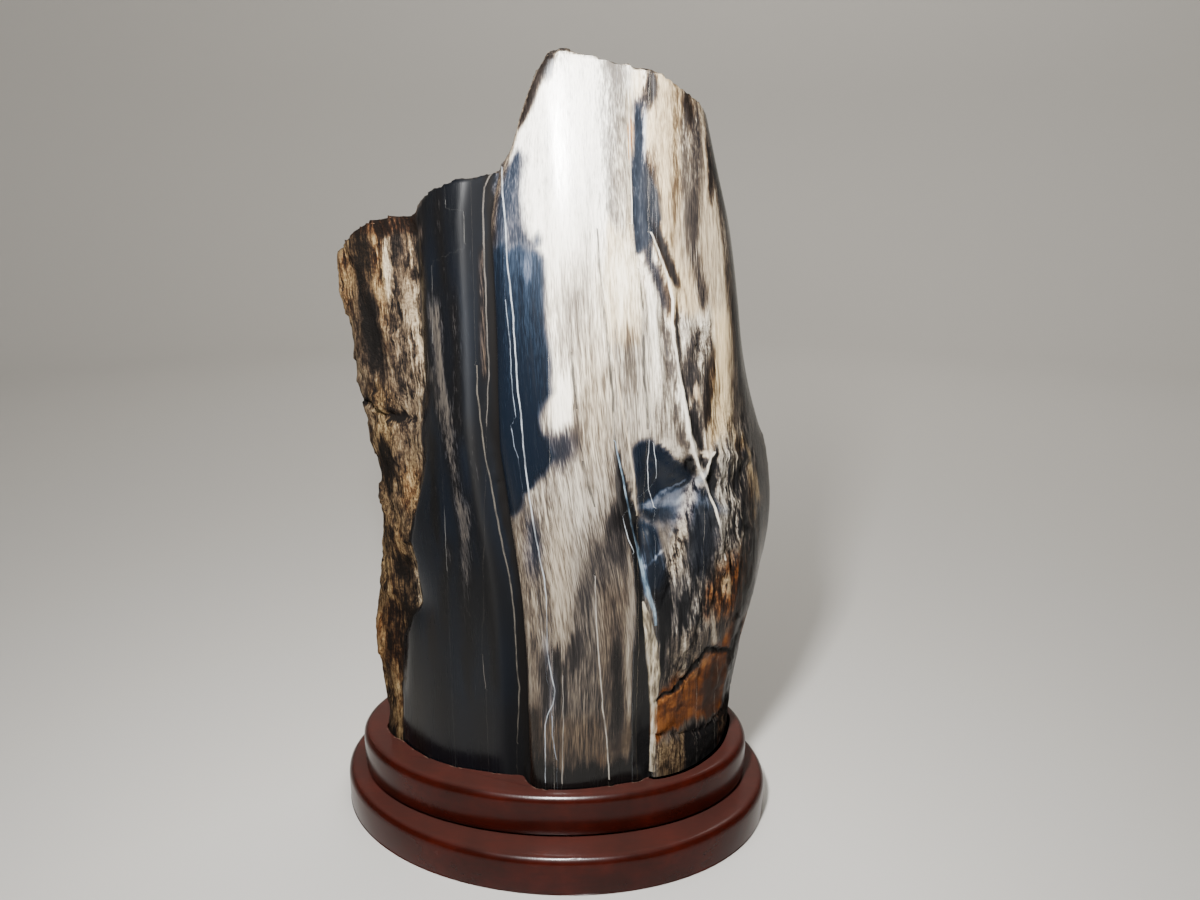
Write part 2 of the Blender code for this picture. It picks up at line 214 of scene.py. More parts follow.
shift = rough_rock * (1.3 * coarse + 0.9 * middling + 0.5 * fine - 0.6)
shift += bark_band * (1.5 * small_planes - 0.8)
shift += back * (2.6 * large_planes + 1.2 * small_planes + 0.9 * splinters - 1.4)
shift += skyward * (1.6 * small_planes - 0.8)
shift -= front * 2.2 * np.exp(-((groove_off - 0.8) / 1.5) ** 2)
shift += front * flank * (1.0 - chipped) * (0.9 * small_planes + 0.5 * strings - 0.3)
shift += front * stringy * (1.9 * strings + 0.5 * fine - 0.4)
shift += front * sugary * (fine + 0.8 * middling)
shift -= front * chipped * (4.2 * shell)
shift -= front * zone(((87, 226), (88, 204)), ((108, 219), (106, 204)), soft=2.0) * 1.6
shift += front * (1.0 - flank) * 0.3 * lumps(26.0, 60.0, 20.0)
shift += front * facet * (1.1 * broken(16.0, 14.0, 27.0) - 0.4)

# Ridges, and slits with a minus: points, width, softness, raggedness, drawn-out ends and height.
for points, width, soft, ragged, tail, rise in (
    (RIDGE, 3.4, 0.7, 0.3, 4.0, 1.7),
    ([(x + 4.0, z) for x, z in RIDGE[5:9]], 4.5, 0.8, 0.6, 4.0, -1.1),
    ([(x - 4.5, z) for x, z in RIDGE[4:10]], 5.0, 0.6, 0.4, 4.0, -1.4),
    (((87, 233), (85, 228), (83, 219)), 3.0, 0.7, 0.3, 4.0, 1.2),
    (((87, 232), (95, 228), (102, 226), (108, 222)), 4.0, 0.7, 0.0, 1.0, 1.1),
    (((76, 222), (86, 216), (88, 206)), 4.0, 0.7, 1.0, 4.0, -1.5),
    (((46, 400), (48, 370), (50, 340)), 13.0, 0.95, 0.0, 4.0, -0.7),
    (((62, 95), (70, 98), (76, 104), (82, 113), (87, 119), (93, 117), (100, 112)), 2.4, 0.6, 0.2, 4.0, -1.6),
    (((60, 74), (78, 68), (88, 66), (99, 71)), 2.2, 0.6, 0.2, 4.0, -1.8),
    (((50, 190), (50.5, 150), (50.5, 120), (50, 80), (50, 52)), 6.0, 0.5, 0.3, 4.0, -1.6),
    (((54, 240), (53, 225), (55, 205)), 1.8, 0.6, 0.2, 4.0, -0.8),
):
    shift += front * stroke(points, width, soft, ragged, tail) * rise
shift -= bark_band * stroke(((-100, 247), (-93, 243), (-78, 243)), 3.4, 0.6, 0.3) * 2.4
shift -= bark_band * (patch(-83, 155, 8, 5) + patch(-70, 303, 3, 6) + patch(-92, 275, 5, 12)) * 1.8
shift += bark_band * (patch(-75, 205, 7, 8) + patch(-80, 325, 3, 18)) * 1.2
spots += facing * (np.clip(shift, -7.0, 4.0) * free * MM)[:, None]
fossil.data.vertices.foreach_set("co", spots.astype(np.float32).ravel())
fossil.data.update()
bpy.ops.object.shade_smooth()

# Its colours are painted in strokes, as they lie in the stone. pale and dim are the darkness of
# the light and the dark fibres, 0 for cream and 1 for black, mix is the share of dark ones, and
# the rest is how blue, tan and rusty they are.
# Both tones darken towards the foot: partly the stone's own browner colour lower down, partly painted shade for the
# lamp's light falling off downwards.
paleness = np.interp(height, (45, 60, 80, 120, 160, 200, 235, 265, 300, 425),
    (0.62, 0.5, 0.46, 0.42, 0.36, 0.28, 0.2, 0.13, 0.08, 0.04))
tones = {
    "pale": paleness,
    "dim": paleness + np.interp(height, (45, 200, 260, 425), (0.34, 0.36, 0.34, 0.3)),
    "mix": np.interp(height, (45, 60, 120, 220, 260, 330, 425), (0.9, 0.5, 0.45, 0.42, 0.38, 0.3, 0.25))
        + 0.28 * lumps(4.5, 70.0, 50.0) + 0.2 * lumps(12.0, 110.0, 52.0),
    "blue": np.full(count, 0.08),
    "tan": np.interp(height, (45, 110, 160, 240, 320, 360), (0.35, 0.3, 0.2, 0.3, 0.25, 0.08)),
    "rust": np.zeros(count),
}


def paint(mask, **laid):
    """Lays a stroke on the stone: each tone that is given replaces the one there, as far as the mask reaches."""
    for name, value in laid.items():
        tones[name] = tones[name] * (1.0 - mask) + value * mask


# The pale column in the middle, with its dark streaks.
# Few dark fibres over the top of the column: partly its own paler cream, partly a painted highlight where the lamp's
# glare washes the streaks out.
paint(patch(11, 365, 26, 48, soft=0.3), mix=0.08)
paint(stroke(((35, 412), (35, 352)), 10), mix=0.72, dim=0.42)
paint(patch(35, 413, 5, 3), mix=0.9)
paint(patch(4.5, 417, 4, 5), mix=0.9, dim=0.9, tan=0.4)
paint(stroke(((-19, 376), (-13, 386), (-6, 395), (-2, 405), (2, 414), (6, 421)), 4.6, 0.6, 0.3, 1.0),
    pale=0.6, mix=0.97, dim=0.92, tan=0.5)
paint(zone(((31, 345), (32, 290)), ((46, 345), (48, 290))), pale=0.14, tan=0.6, mix=0.25)
paint(stroke(((42.5, 400), (43.5, 345)), 3.0), pale=0.24, tan=0.8, mix=0.3)
paint(stroke(((43, 390), (43, 376)), 2.0), rust=0.8, pale=0.4)
paint(patch(10, 260, 5.5, 16), pale=0.0, mix=0.02)
paint(patch(24, 300, 5, 40), pale=0.12, mix=0.35)
paint(patch(40, 372, 5, 26, soft=0.9), pale=0.14, dim=0.46, mix=0.5, tan=0.3)
paint(stroke(((16.5, 258), (17, 244)), 2.4, 0.9), mix=0.85, dim=0.56)
paint(patch(17, 243, 4.5, 5, soft=0.9), mix=0.95, dim=0.62)
paint(patch(16, 305, 6, 18, soft=0.9), pale=0.22, dim=0.5, mix=0.6)
paint(patch(43, 282, 7, 20, soft=0.9), pale=0.24, dim=0.6, mix=0.62)
paint(patch(39, 318, 9, 16, soft=0.9), pale=0.08, tan=0.55, mix=0.2)
paint(patch(26, 262, 8, 30, soft=0.9), pale=0.17, dim=0.5, tan=0.45, mix=0.45)
paint(patch(33, 275, 2.0, 3), mix=0.85)
paint(patch(43, 235, 5, 30), mix=0.5, dim=0.55)
paint(zone(((36, 232), (38, 214), (39.5, 200), (41, 190)), ((38, 232), (44, 214), (48.5, 200), (50, 190)), 0.9, 8.0),
    pale=0.5, dim=0.96, mix=0.92)
paint(patch(28, 188, 11, 12), mix=0.6, dim=0.56)
paint(patch(37.5, 196, 5.5, 9), mix=0.95, dim=0.84)
paint(patch(35, 184, 9, 5), mix=0.75, dim=0.72)
paint(patch(30, 171, 4, 6), mix=0.8, dim=0.66)
paint(patch(21, 162, 4.5, 18, lean=0.25), mix=0.72, dim=0.66)
paint(patch(-6, 186, 4.2, 12), mix=0.88, dim=0.78, blue=0.7)
paint(patch(7, 168, 8, 36), pale=0.27, mix=0.22, tan=0.4)
paint(patch(20, 215, 8, 20), pale=0.2, mix=0.3)
paint(patch(16.5, 131, 4, 9, lean=0.2), mix=0.95, dim=0.74)
paint(stroke(((1, 128), (3.2, 117), (4.2, 107), (3, 97), (1, 92)), 3.6, 0.8, 0.5),
    pale=0.28, dim=0.56, mix=0.45, blue=0.7)
paint(stroke(((10, 118), (10, 96)), 2.4), mix=0.85, dim=0.8)
paint(zone(((28, 170), (29, 60)), ((44, 170), (45, 60)), 3.0, 24.0), pale=0.45, dim=0.72, mix=0.5, tan=0.45)
paint(stroke(((38, 124), (38.5, 62)), 5.5), mix=0.92, dim=0.86)
paint(stroke(((44.5, 180), (44.5, 92)), 3.0), pale=0.34, mix=0.15, tan=0.3)
paint(stroke(((-1, 118), (0, 90)), 4.5), mix=0.9, dim=0.82)
paint(stroke(((6, 125), (6, 92)), 3.6), mix=0.88, dim=0.82)
paint(zone(((-14, 95), (-12, 50)), ((-3, 95), (-3, 50)), 1.5, 20.0), pale=0.55, mix=0.7, dim=0.8, tan=0.7)
paint(zone(((-2, 90), (-2, 58)), ((30, 90), (32, 58)), 3.0, 14.0), pale=0.5, mix=0.45, dim=0.76, tan=0.6)

# The navy zone beside the dark lobe, and the paler blue above it.
NAVY_EDGE = ((-1, 337), (-1, 334), (1, 329), (4, 312), (3, 300), (4, 290), (3.5, 280), (5, 270), (4, 266), (0, 260),
    (-2, 252), (-2, 246), (4, 242), (7, 234), (3, 228), (-1, 224), (-5, 218), (-9, 214), (-14, 205), (-20, 197))
navy = zone(GROOVE_LINE, [(x + 1.2 * math.sin(0.9 * z), z) for x, z in NAVY_EDGE], 3.0, 9.0)
navy_depth = np.interp(height, (197, 250, 300, 337), (1.01, 0.97, 0.9, 0.74))
paint(navy, pale=navy_depth - 0.10, dim=navy_depth + 0.05, mix=0.6, blue=1.0, tan=0.0)
paint(zone(GROOVE_LINE, ((-7, 376), (-9, 360), (-7, 345), (-2, 336)), 4.5, 7.0),
    pale=0.42, dim=0.78, mix=0.75, blue=0.8)
paint(patch(9, 239, 7, 5, soft=0.9), mix=0.9, dim=0.8, blue=0.75)
paint(patch(-5.5, 328, 3, 5), pale=0.56, mix=0.3)
paint(stroke(((-8, 320), (-9, 305)), 1.2), mix=1.0, dim=0.98)
paint(zone(GROOVE_LINE, ((-8, 198), (-3, 160), (-3, 95)), 3.0, 14.0), pale=0.32, mix=0.42, dim=0.7, tan=0.4)
# A dark brown band down the column's left side, where it turns into the groove: painted shade.
paint(stroke(((-19, 170), (-16, 120), (-14, 100)), 5.0), mix=0.9, dim=0.9, tan=0.3)

# The dark lobe on the left, nearly black with diffuse warm streaks along its fibres.
lobe = fade(1.0, -1.0, groove_off)
paint(lobe,
    pale=0.84, dim=1.12, mix=0.9 + 0.12 * lumps(6.0, 50.0, 90.0), blue=0.35 + 0.5 * lumps(14.0, 60.0, 93.0), tan=0.0,
    rust=0.0)
# A paler band down the top of the lobe: a painted sheen.
paint(lobe * stroke(((-37.5, 345), (-37.5, 295)), 11, 0.7), pale=0.7, mix=0.72)
LOBE_STREAKS = ((((-55, 295), (-52, 270), (-49, 252)), 7.0, 0.25), (((-44, 300), (-43, 250)), 5.0, 0.72),
    (((-57, 265), (-53, 252), (-50, 240), (-47, 225), (-45, 212), (-44, 203)), 5.5, 0.42),
    (((-41, 194), (-42.5, 182), (-42, 168)), 5.0, 0.3), (((-53, 170), (-55, 155), (-56, 138)), 4.5, 0.58),
    (((-44, 155), (-43, 140), (-42, 125)), 5.0, 0.45), (((-45, 112), (-44, 97)), 3.5, 0.62),
    (((-37, 240), (-33, 190)), 4.0, 0.72), (((-60, 230), (-58, 190)), 4.0, 0.75), (((-30, 170), (-28, 110)), 4.0, 0.74),
    (((-63, 320), (-62, 280)), 3.0, 0.76), (((-50, 350), (-49, 320)), 4.0, 0.8))
for points, width, amount in LOBE_STREAKS:
    paint(lobe * stroke(points, width + 1.5, 0.9), pale=0.54, mix=amount - 0.08, blue=0.0, tan=0.1)
paint(lobe * patch(-64.5, 125, 3.2, 13), pale=0.66, mix=0.3, tan=0.7)
paint(lobe * stroke(((-29.3, 328), (-29.3, 274)), 3.2, 0.6, 0.3), pale=0.58, mix=0.35, tan=0.6)
# The lobe darkened further below 170 mm: painted shade for the light falling off towards the foot.
paint(lobe * fade(170, 110, height), pale=0.95, dim=1.15)
paint(lobe * fade(100, 80, height), tan=0.3)

# The deep groove between them, brown-black, and painted darker still as painted shade in its hollow.
paint(zone(
    ((-27, 372), (-27, 340), (-26.5, 245), (-23, 200), (-18.5, 175), (-16, 155), (-16, 130), (-15.5, 110),
     (-14, 60), (-14, 45)),
    ((-24, 372), (-23, 340), (-22.5, 245), (-20, 200), (-15.5, 175), (-12, 155), (-10, 130), (-9.5, 110),
     (-12, 60), (-12, 45)), 0.8, 4.0),
    pale=1.0, dim=1.15, mix=0.95, blue=0.0, tan=0.4)

# The blue and dark band in the shallow groove at the upper right, and the tan flank beside it.
paint(zone(((50, 415), (50, 345), (56, 330), (62, 300)), ((66, 415), (70, 345), (78, 320), (82, 300))),
    pale=0.2, tan=0.75, mix=0.3)
paint(zone(((66, 415), (70, 345), (78, 320), (82, 300)), ((90, 415), (96, 345), (100, 300), (104, 290))),
    pale=0.17, tan=0.6, mix=0.38)
paint(zone(((44.5, 405), (44.5, 350), (46, 333)),
    ((47.5, 405), (47.6, 388), (51, 370), (56, 359), (57.5, 347), (50, 333)), 0.8, 4.0),
    pale=0.5, dim=0.88, mix=0.86, blue=0.65, tan=0.0)
paint(patch(51, 352, 3, 9), pale=0.7, mix=0.95, dim=0.92)
paint(stroke(((56, 341), (60, 333), (63.5, 322)), 3.6, 0.5, 0.4), pale=0.6, dim=0.9, mix=0.95, tan=0.3)
paint(stroke(((49.2, 396), (49.2, 374)), 1.8, 0.6, 0.4), pale=0.2, mix=0.1, blue=0.7)
paint(patch(53, 358, 4.5, 15, lean=-0.1), mix=0.8, dim=0.8, blue=0.3)
paint(stroke(((50, 340), (52, 328), (57, 319), (60, 311)), 4.5, 0.5, 0.5), pale=0.5, mix=0.8, dim=0.8, blue=0.5)
paint(patch(51, 404, 3.2, 6), mix=1.0, dim=0.9, tan=0.4)
paint(patch(46, 409, 2.5, 4), pale=0.14, mix=0.1, tan=0.6)
paint(patch(60, 328, 3.0, 10, lean=-0.5), mix=0.92, dim=0.85)
paint(patch(70, 397, 4, 7), mix=1.0, dim=0.9)
paint(patch(72, 352, 4, 16, soft=0.9), mix=0.85, dim=0.66, tan=0.2)
paint(stroke(((68.5, 388), (68.5, 364)), 4.2), mix=0.72, dim=0.66, tan=0.3)
paint(stroke(((74, 388), (74, 335), (78, 312)), 4.5), mix=0.75, dim=0.7, tan=0.3)
paint(stroke(((81.5, 382), (82, 364)), 4.6), mix=0.95, dim=0.85, tan=0.5)
paint(stroke(((63.5, 404), (64, 340)), 4.0), mix=0.6, dim=0.6)
paint(stroke(((58, 400), (57, 350)), 3.5), mix=0.55)
paint(zone(((82, 302), (84, 232)), ((99, 302), (100, 232)), 2.0, 14.0), pale=0.1, tan=0.9, mix=0.12, dim=0.4)
sideways = fade(0.65, 0.9, facing[:, 0]) * fade(-52.0, -40.0, depth)
paint(stroke(((94, 343), (97, 325), (99, 310), (101, 290), (102, 265), (103, 245), (108, 230), (112, 215)), 9.5,
    0.6) * (1.0 - sideways),
    pale=0.6, dim=1.02, mix=0.92, tan=0.4)
paint(sideways * fade(72, 84, across), pale=0.32, dim=0.84, mix=0.6 + 0.5 * lumps(9.0, 60.0, 97.0), tan=0.4, blue=0.15)
paint(fade(103, 106, across) * fade(205, 225, height) * fade(300, 285, height), pale=0.45, dim=0.85, mix=0.5, tan=0.2)

# The broken ridge below it, with crystals, dark slits and a pink thread across it.
paint(zone(((60, 300), (60, 250), (57, 232)), ((84, 300), (90, 262), (88, 232)), 2.5, 8.0),
    pale=0.12, dim=0.62, mix=0.38)
paint(patch(79, 288, 6, 10), pale=0.1, mix=0.3, tan=0.3)
paint(stroke([(x - 3.5, z) for x, z in RIDGE[5:9]], 4.0), mix=0.72, dim=0.66)
paint(stroke([(x + 2.2, z) for x, z in RIDGE[5:8]], 1.8, 0.9, 0.8), mix=0.9, dim=0.75)
paint(stroke(((75, 277), (75, 265)), 8), mix=0.85, dim=0.75)
paint(stroke(((84, 273), (83, 256)), 5), mix=0.85, dim=0.8)
paint(stroke(((73, 258), (76, 236)), 6.5), mix=0.85, dim=0.82)
paint(stroke(((77, 243), (82, 222)), 6.0), mix=0.85, dim=0.85)
paint(patch(78, 262.5, 3.0, 1.5), pale=0.2, mix=0.1, rust=0.3, tan=0.6)
paint(stroke(((100, 235), (108, 222), (112, 212), (116, 200)), 4.0), pale=0.26, mix=0.3, tan=0.9)
paint(stroke(((69, 262), (73, 245), (78, 228), (83, 216), (88, 204)), 3.8, 0.5, 0.4),
    pale=0.06, mix=0.06, tan=0.2, blue=0.1)
paint(stroke(((88, 232), (84, 219)), 3.6, 0.5, 0.4), pale=0.06, mix=0.05, tan=0.2, blue=0.1)

# The hollow knot: navy agate with a bright chipped edge, and stringy cream wood round it.
# Its black hollows are partly painted shade, and its bright edge partly painted catch-lights.
paint(zone(((45, 240), (46, 225), (48, 212), (50, 200)), ((57, 240), (66, 230), (77, 219), (86, 200)), 1.4, 6.0),
    pale=0.74, dim=0.97, mix=0.85, blue=1.0, tan=0.0)
# Black in the knot's chipped hollow: partly its own dark agate, partly painted shade.
paint(patch(72.5, 217, 4.5, 8, lean=0.3), pale=0.92, dim=1.05, mix=0.98)
paint(patch(72, 204, 13, 6, soft=0.8), pale=0.45, dim=0.7, mix=0.4, blue=0.95, tan=0.0)
paint(stroke(((57, 207), (64, 209), (70, 211), (76, 214), (80, 217)), 4.4, 0.8, 0.15),
    pale=0.32, mix=0.1, blue=0.9, tan=0.0)
paint(stroke(((64, 206), (72, 207), (80, 206), (88, 202)), 4.6, 0.8, 0.15), pale=0.28, mix=0.1, blue=0.9, tan=0.0)
# The brightest line of the chipped edge: partly pale agate, partly a painted catch-light.
paint(stroke(((73, 209), (77, 212), (80, 216)), 2.6, 0.8, 0.1), pale=0.08, mix=0.0, blue=0.8)
paint(stroke(((60, 211), (66, 214.5), (71, 217)), 1.5, 0.8, 0.1), pale=0.4, mix=0.1, blue=0.9)
paint(stroke(((86, 230), (95, 227), (104, 223)), 3.6, 0.6, 0.2), pale=0.1, mix=0.08, tan=0.4)
paint(stroke(((88, 224), (88.5, 205)), 4.5), pale=0.75, dim=1.0, mix=0.97)
paint(stroke(((94, 222), (93, 200), (95, 182), (98, 168)), 8.0), pale=0.1, dim=0.85, mix=0.3, tan=0.2)
paint(stroke(((100, 222), (100.5, 205)), 3.0), pale=0.2, dim=0.9, mix=0.3)
paint(stroke(((103.5, 222), (105, 188)), 8.0), pale=0.16, dim=0.96, mix=0.62)
paint(stroke(((108, 222), (110, 206), (113, 190)), 3.4), pale=0.24, mix=0.15, tan=0.8)
paint(patch(82, 186, 6.5, 17), pale=0.7, dim=1.0, mix=0.92, blue=0.9)
paint(stroke(((74, 204), (69, 185), (66, 160), (70, 140)), 8.0), pale=0.12, dim=0.85, mix=0.34, tan=0.4)
paint(zone(((48, 197), (49, 172), (52, 160)), ((58, 197), (62, 172), (62, 160)), 1.5, 6.0),
    pale=0.5, dim=0.82, mix=0.5, blue=1.0, tan=0.0)
paint(patch(53, 187, 5, 5), mix=0.85, dim=0.86)
paint(stroke(((51, 173), (56, 176), (60, 180)), 1.3, 0.5, 0.2), pale=0.2, mix=0.0)
paint(stroke(((58, 162), (61, 150), (63, 138), (63, 122)), 6.5, 0.5), pale=0.75, dim=0.98, mix=0.96)
paint(stroke(((70, 150), (68, 135)), 2.6), mix=0.95, dim=0.95)
paint(stroke(((110, 200), (112, 150)), 5.0), pale=0.35, dim=0.85, mix=0.6)

# The lower right: leaning splinters, rusty patches, a broken rusty face, and rough lumps at the foot.
paint(zone(((60, 165), (59, 120)), ((92, 165), (88, 120)), 2.5, 12.0), pale=0.2, dim=0.82, mix=0.55, tan=0.15, blue=0.1)
paint(patch(86, 150, 5, 15, lean=0.2), mix=0.68, dim=0.8)
paint(stroke(((60, 160), (63, 143), (64, 120)), 5.5, 0.5), pale=0.8, dim=1.0, mix=0.97, tan=0.1)
paint(stroke(((72, 150), (71, 132)), 2.6), pale=0.6, mix=0.95, dim=0.95)
paint(zone(((64, 134), (62, 102)), ((106, 134), (104, 102)), 2.5, 10.0),
    pale=0.42, dim=0.74, mix=0.5, tan=0.3, blue=0.0)
paint(stroke(((74, 128), (75, 105)), 3.2), pale=0.2, mix=0.1)
paint(stroke(((88, 138), (93, 120)), 3.6), pale=0.2, mix=0.15)
paint(patch(99, 153, 13, 16), pale=0.42, dim=0.8, mix=0.55, rust=0.8, tan=0.8)
paint(patch(97.5, 155, 3.2, 3), pale=0.18, mix=0.15, rust=0.2)
paint(patch(112, 120, 7, 45), pale=0.5, dim=0.9, mix=0.75, rust=0.4)
paint(facet, pale=0.36, dim=0.56, mix=0.5, rust=1.0, tan=0.6, blue=0.0)
paint(stroke(((62, 92), (74, 99), (84, 108)), 4.0), pale=0.26, mix=0.2, rust=0.8)
paint(patch(93, 92, 7, 13), mix=0.85, dim=0.7)
paint(stroke(((60, 95), (70, 98), (76, 104), (82, 113), (87, 119), (93, 117), (100, 112)), 2.6, 0.4, 0.3),
    pale=0.8, dim=0.95, mix=0.95, rust=0.3)
paint(stroke(((62, 84), (74, 86), (90, 78)), 1.4, 0.5, 0.5), mix=0.9)
paint(zone(((58, 72), (57, 45)), ((66, 72), (68, 45)), 1.5, 5.0), pale=0.28, dim=0.7, mix=0.4)
paint(zone(((60, 70), (61, 45)), ((77, 69), (77, 45)), 1.5, 4.0), pale=0.34, dim=0.76, mix=0.4, tan=0.8)
paint(zone(((76, 69), (76, 45)), ((96, 69), (96, 45)), 1.5, 4.0), pale=0.45, dim=0.95, mix=0.8, tan=0.4)
paint(zone(((96, 72), (96, 45)), ((110, 72), (110, 45)), 1.5, 4.0), pale=0.34, dim=0.85, mix=0.55, rust=0.5, tan=0.6)
paint(stroke(((105, 118), (105, 75)), 7.0), pale=0.6, dim=0.95, mix=0.88, rust=0.5)
paint(zone(((44, 196), (47, 170), (47.5, 140), (46, 100), (44.5, 45)),
    ((49, 196), (51.5, 155), (53, 138), (54.5, 112), (56, 80), (56, 45)), 0.7, 8.0),
    pale=0.92, dim=1.1, mix=0.95, blue=0.1, tan=0.3, rust=0.0)
paint(patch(42, 75, 9, 24) * fade(56, 52, across), rust=0.0)
paint(fade(66, 52, ragged_height) * fade(60, 52, across) * (1.0 - bark_band), dim=1.02, mix=0.96)

# The bark band on the left: gold, rust, brown and grey in rough upright scales.
paint(bark_band,
    pale=np.interp(height, (100, 200, 300), (0.32, 0.4, 0.45)), dim=0.8, mix=0.42, blue=0.0,
    tan=np.interp(height, (130, 200, 260, 320), (0.95, 0.8, 0.62, 0.85)), rust=0.12)
BARK_SCALES = (((-108, 318), 5, 14, 0.42, 0.4, 0.6), ((-96, 332), 5, 14, 0.62, 0.85, 0.15),
    ((-88, 315), 4, 26, 0.36, 0.35, 0.55), ((-81, 325), 3, 20, 0.14, 0.2, 0.0), ((-75, 332), 3, 13, 0.6, 0.85, 0.0),
    ((-75, 285), 5, 38, 0.36, 0.52, 0.0), ((-67, 292), 4, 50, 0.26, 0.42, 0.0), ((-93, 284), 5, 16, 0.72, 0.97, 0.0),
    ((-99, 312), 2.5, 12, 0.7, 0.95, 0.0), ((-97, 330), 5, 9, 0.6, 0.8, 0.3), ((-91, 252), 8, 7, 0.4, 0.5, 0.3),
    ((-91, 233), 8, 9, 0.32, 0.4, 0.1), ((-92, 215), 5, 11, 0.55, 0.88, 0.1), ((-76, 205), 7, 10, 0.34, 0.3, 0.6),
    ((-85, 170), 4, 11, 0.4, 0.4, 0.6), ((-83, 155), 8, 5, 0.6, 0.9, 0.3), ((-94, 165), 5, 26, 0.38, 0.5, 0.05),
    ((-74, 152), 4, 13, 0.22, 0.4, 0.0), ((-80, 130), 5, 11, 0.6, 0.88, 0.1), ((-94, 136), 6, 15, 0.34, 0.35, 0.3),
    ((-92, 105), 9, 28, 0.52, 0.62, 0.95), ((-102, 110), 4, 16, 0.36, 0.3, 0.9), ((-92, 72), 4, 19, 0.3, 0.3, 0.5),
    ((-84, 85), 4, 24, 0.56, 0.7, 0.95))
for (x, z), half_width, half_height, tone, share, rusting in BARK_SCALES:
    paint(bark_band * patch(x, z, half_width, half_height),
        pale=tone - 0.02, dim=0.86, mix=share - 0.04, rust=0.5 * rusting, tan=0.6 + 0.35 * (rusting > 0.0))
# A black line under the bark's ledge, along its slit: painted shadow.
paint(bark_band * stroke(((-100, 247), (-93, 243), (-78, 243)), 3.0), mix=1.0, dim=1.0)
paint(bark_band * fade(336, 342, height), pale=0.58, dim=0.95, mix=0.7, rust=0.6)
paint(bark_band * patch(-94, 290, 4, 16), pale=0.75, dim=1.0, mix=0.97, rust=0.0)

# The broken top and the unworked back, weathered grey and brown with rusty seams.
paint(skyward, pale=0.36, dim=0.8, mix=0.6, tan=0.4, blue=0.1)
step_face = fade(-0.66, -0.84, facing[:, 0]) * fade(330, 342, height)
paint(step_face, pale=0.42, dim=0.86, mix=0.5 + 0.5 * lumps(11.0, 40.0, 98.0), tan=0.5, blue=0.1)
# Painted shade: the stone darker everywhere but the lit upper front of the column, and more on the lower lobe, the
# lower right and near the foot, for the lamp's light falling off; the navy zone also a little darker in its own colour.
painted_shade = 0.1 * (1.0 - fade(230, 290, height) * fade(-23, -15, across) * fade(85, 60, across) * front)
painted_shade += 0.06 * lobe * fade(300, 200, height) + 0.07 * fade(52, 60, across) * fade(240, 200, height)
painted_shade += 0.08 * fade(80, 55, height) + 0.06 * navy
tones["pale"] += painted_shade
tones["dim"] += painted_shade
weather = lumps(34.0, 85.0, 61.0)
seams = lumps(20.0, 60.0, 66.0)
behind = fade(-3.0, 5.0, depth)
paint(behind,
    pale=0.4 + 0.25 * weather, dim=0.78 + 0.12 * weather, mix=0.5 + 0.8 * seams,
    blue=np.clip(0.9 * lumps(40.0, 90.0, 71.0), 0.0, 0.5), tan=np.clip(0.45 + 0.8 * seams, 0.0, 1.0),
    rust=np.clip(1.6 * lumps(30.0, 60.0, 75.0) - 0.3, 0.0, 0.5))
# More dark fibres on the sunken sides of the broken planes of rough rock: painted shade in its hollows.
hollow_shade = np.clip(-small_planes - 0.15, 0.0, 1.0)
tones["mix"] += 0.35 * rough_rock * hollow_shade

# The polishing wheel didn't reach into the groove, the band's hollow, the broken faces or the
# crystals, which stay dull or torn.
beside_groove = 0.45 * np.exp(-(np.minimum(groove_off + 8.0, 0.0) / 6.0) ** 2) * fade(4.0, 0.0, groove_off)
beside_band = 0.5 * stroke(((46, 405), (48, 370), (51, 340), (62, 300)), 12.0)
splintered = np.maximum(stringy, 0.45 * flank * (1.0 - chipped) * (1.0 - facet))
unpolished = rough_rock * (1.0 - 0.36 * behind)
unpolished += front * (np.maximum(beside_groove, beside_band) + 0.8 * sugary + 0.25 * facet)
glassy_break = np.clip(facet + 0.8 * chipped, 0.0, 1.0)


def keep(name, *fields):
    """Stores three fields together on the stone's points, for its material."""
    layer = fossil.data.attributes.new(name, "FLOAT_VECTOR", "POINT")
    layer.data.foreach_set("vector", np.stack(fields, 1).astype(np.float32).ravel())


keep("grain", flow * MM, depth * MM, height * MM)
keep("tone", tones["pale"], tones["dim"], np.clip(tones["mix"], 0.0, 1.0))
keep("hue", tones["blue"], tones["tan"], tones["rust"])
keep("crust", np.clip(front * splintered, 0.0, 1.0), np.clip(unpolished, 0.0, 1.0), front * glassy_break)

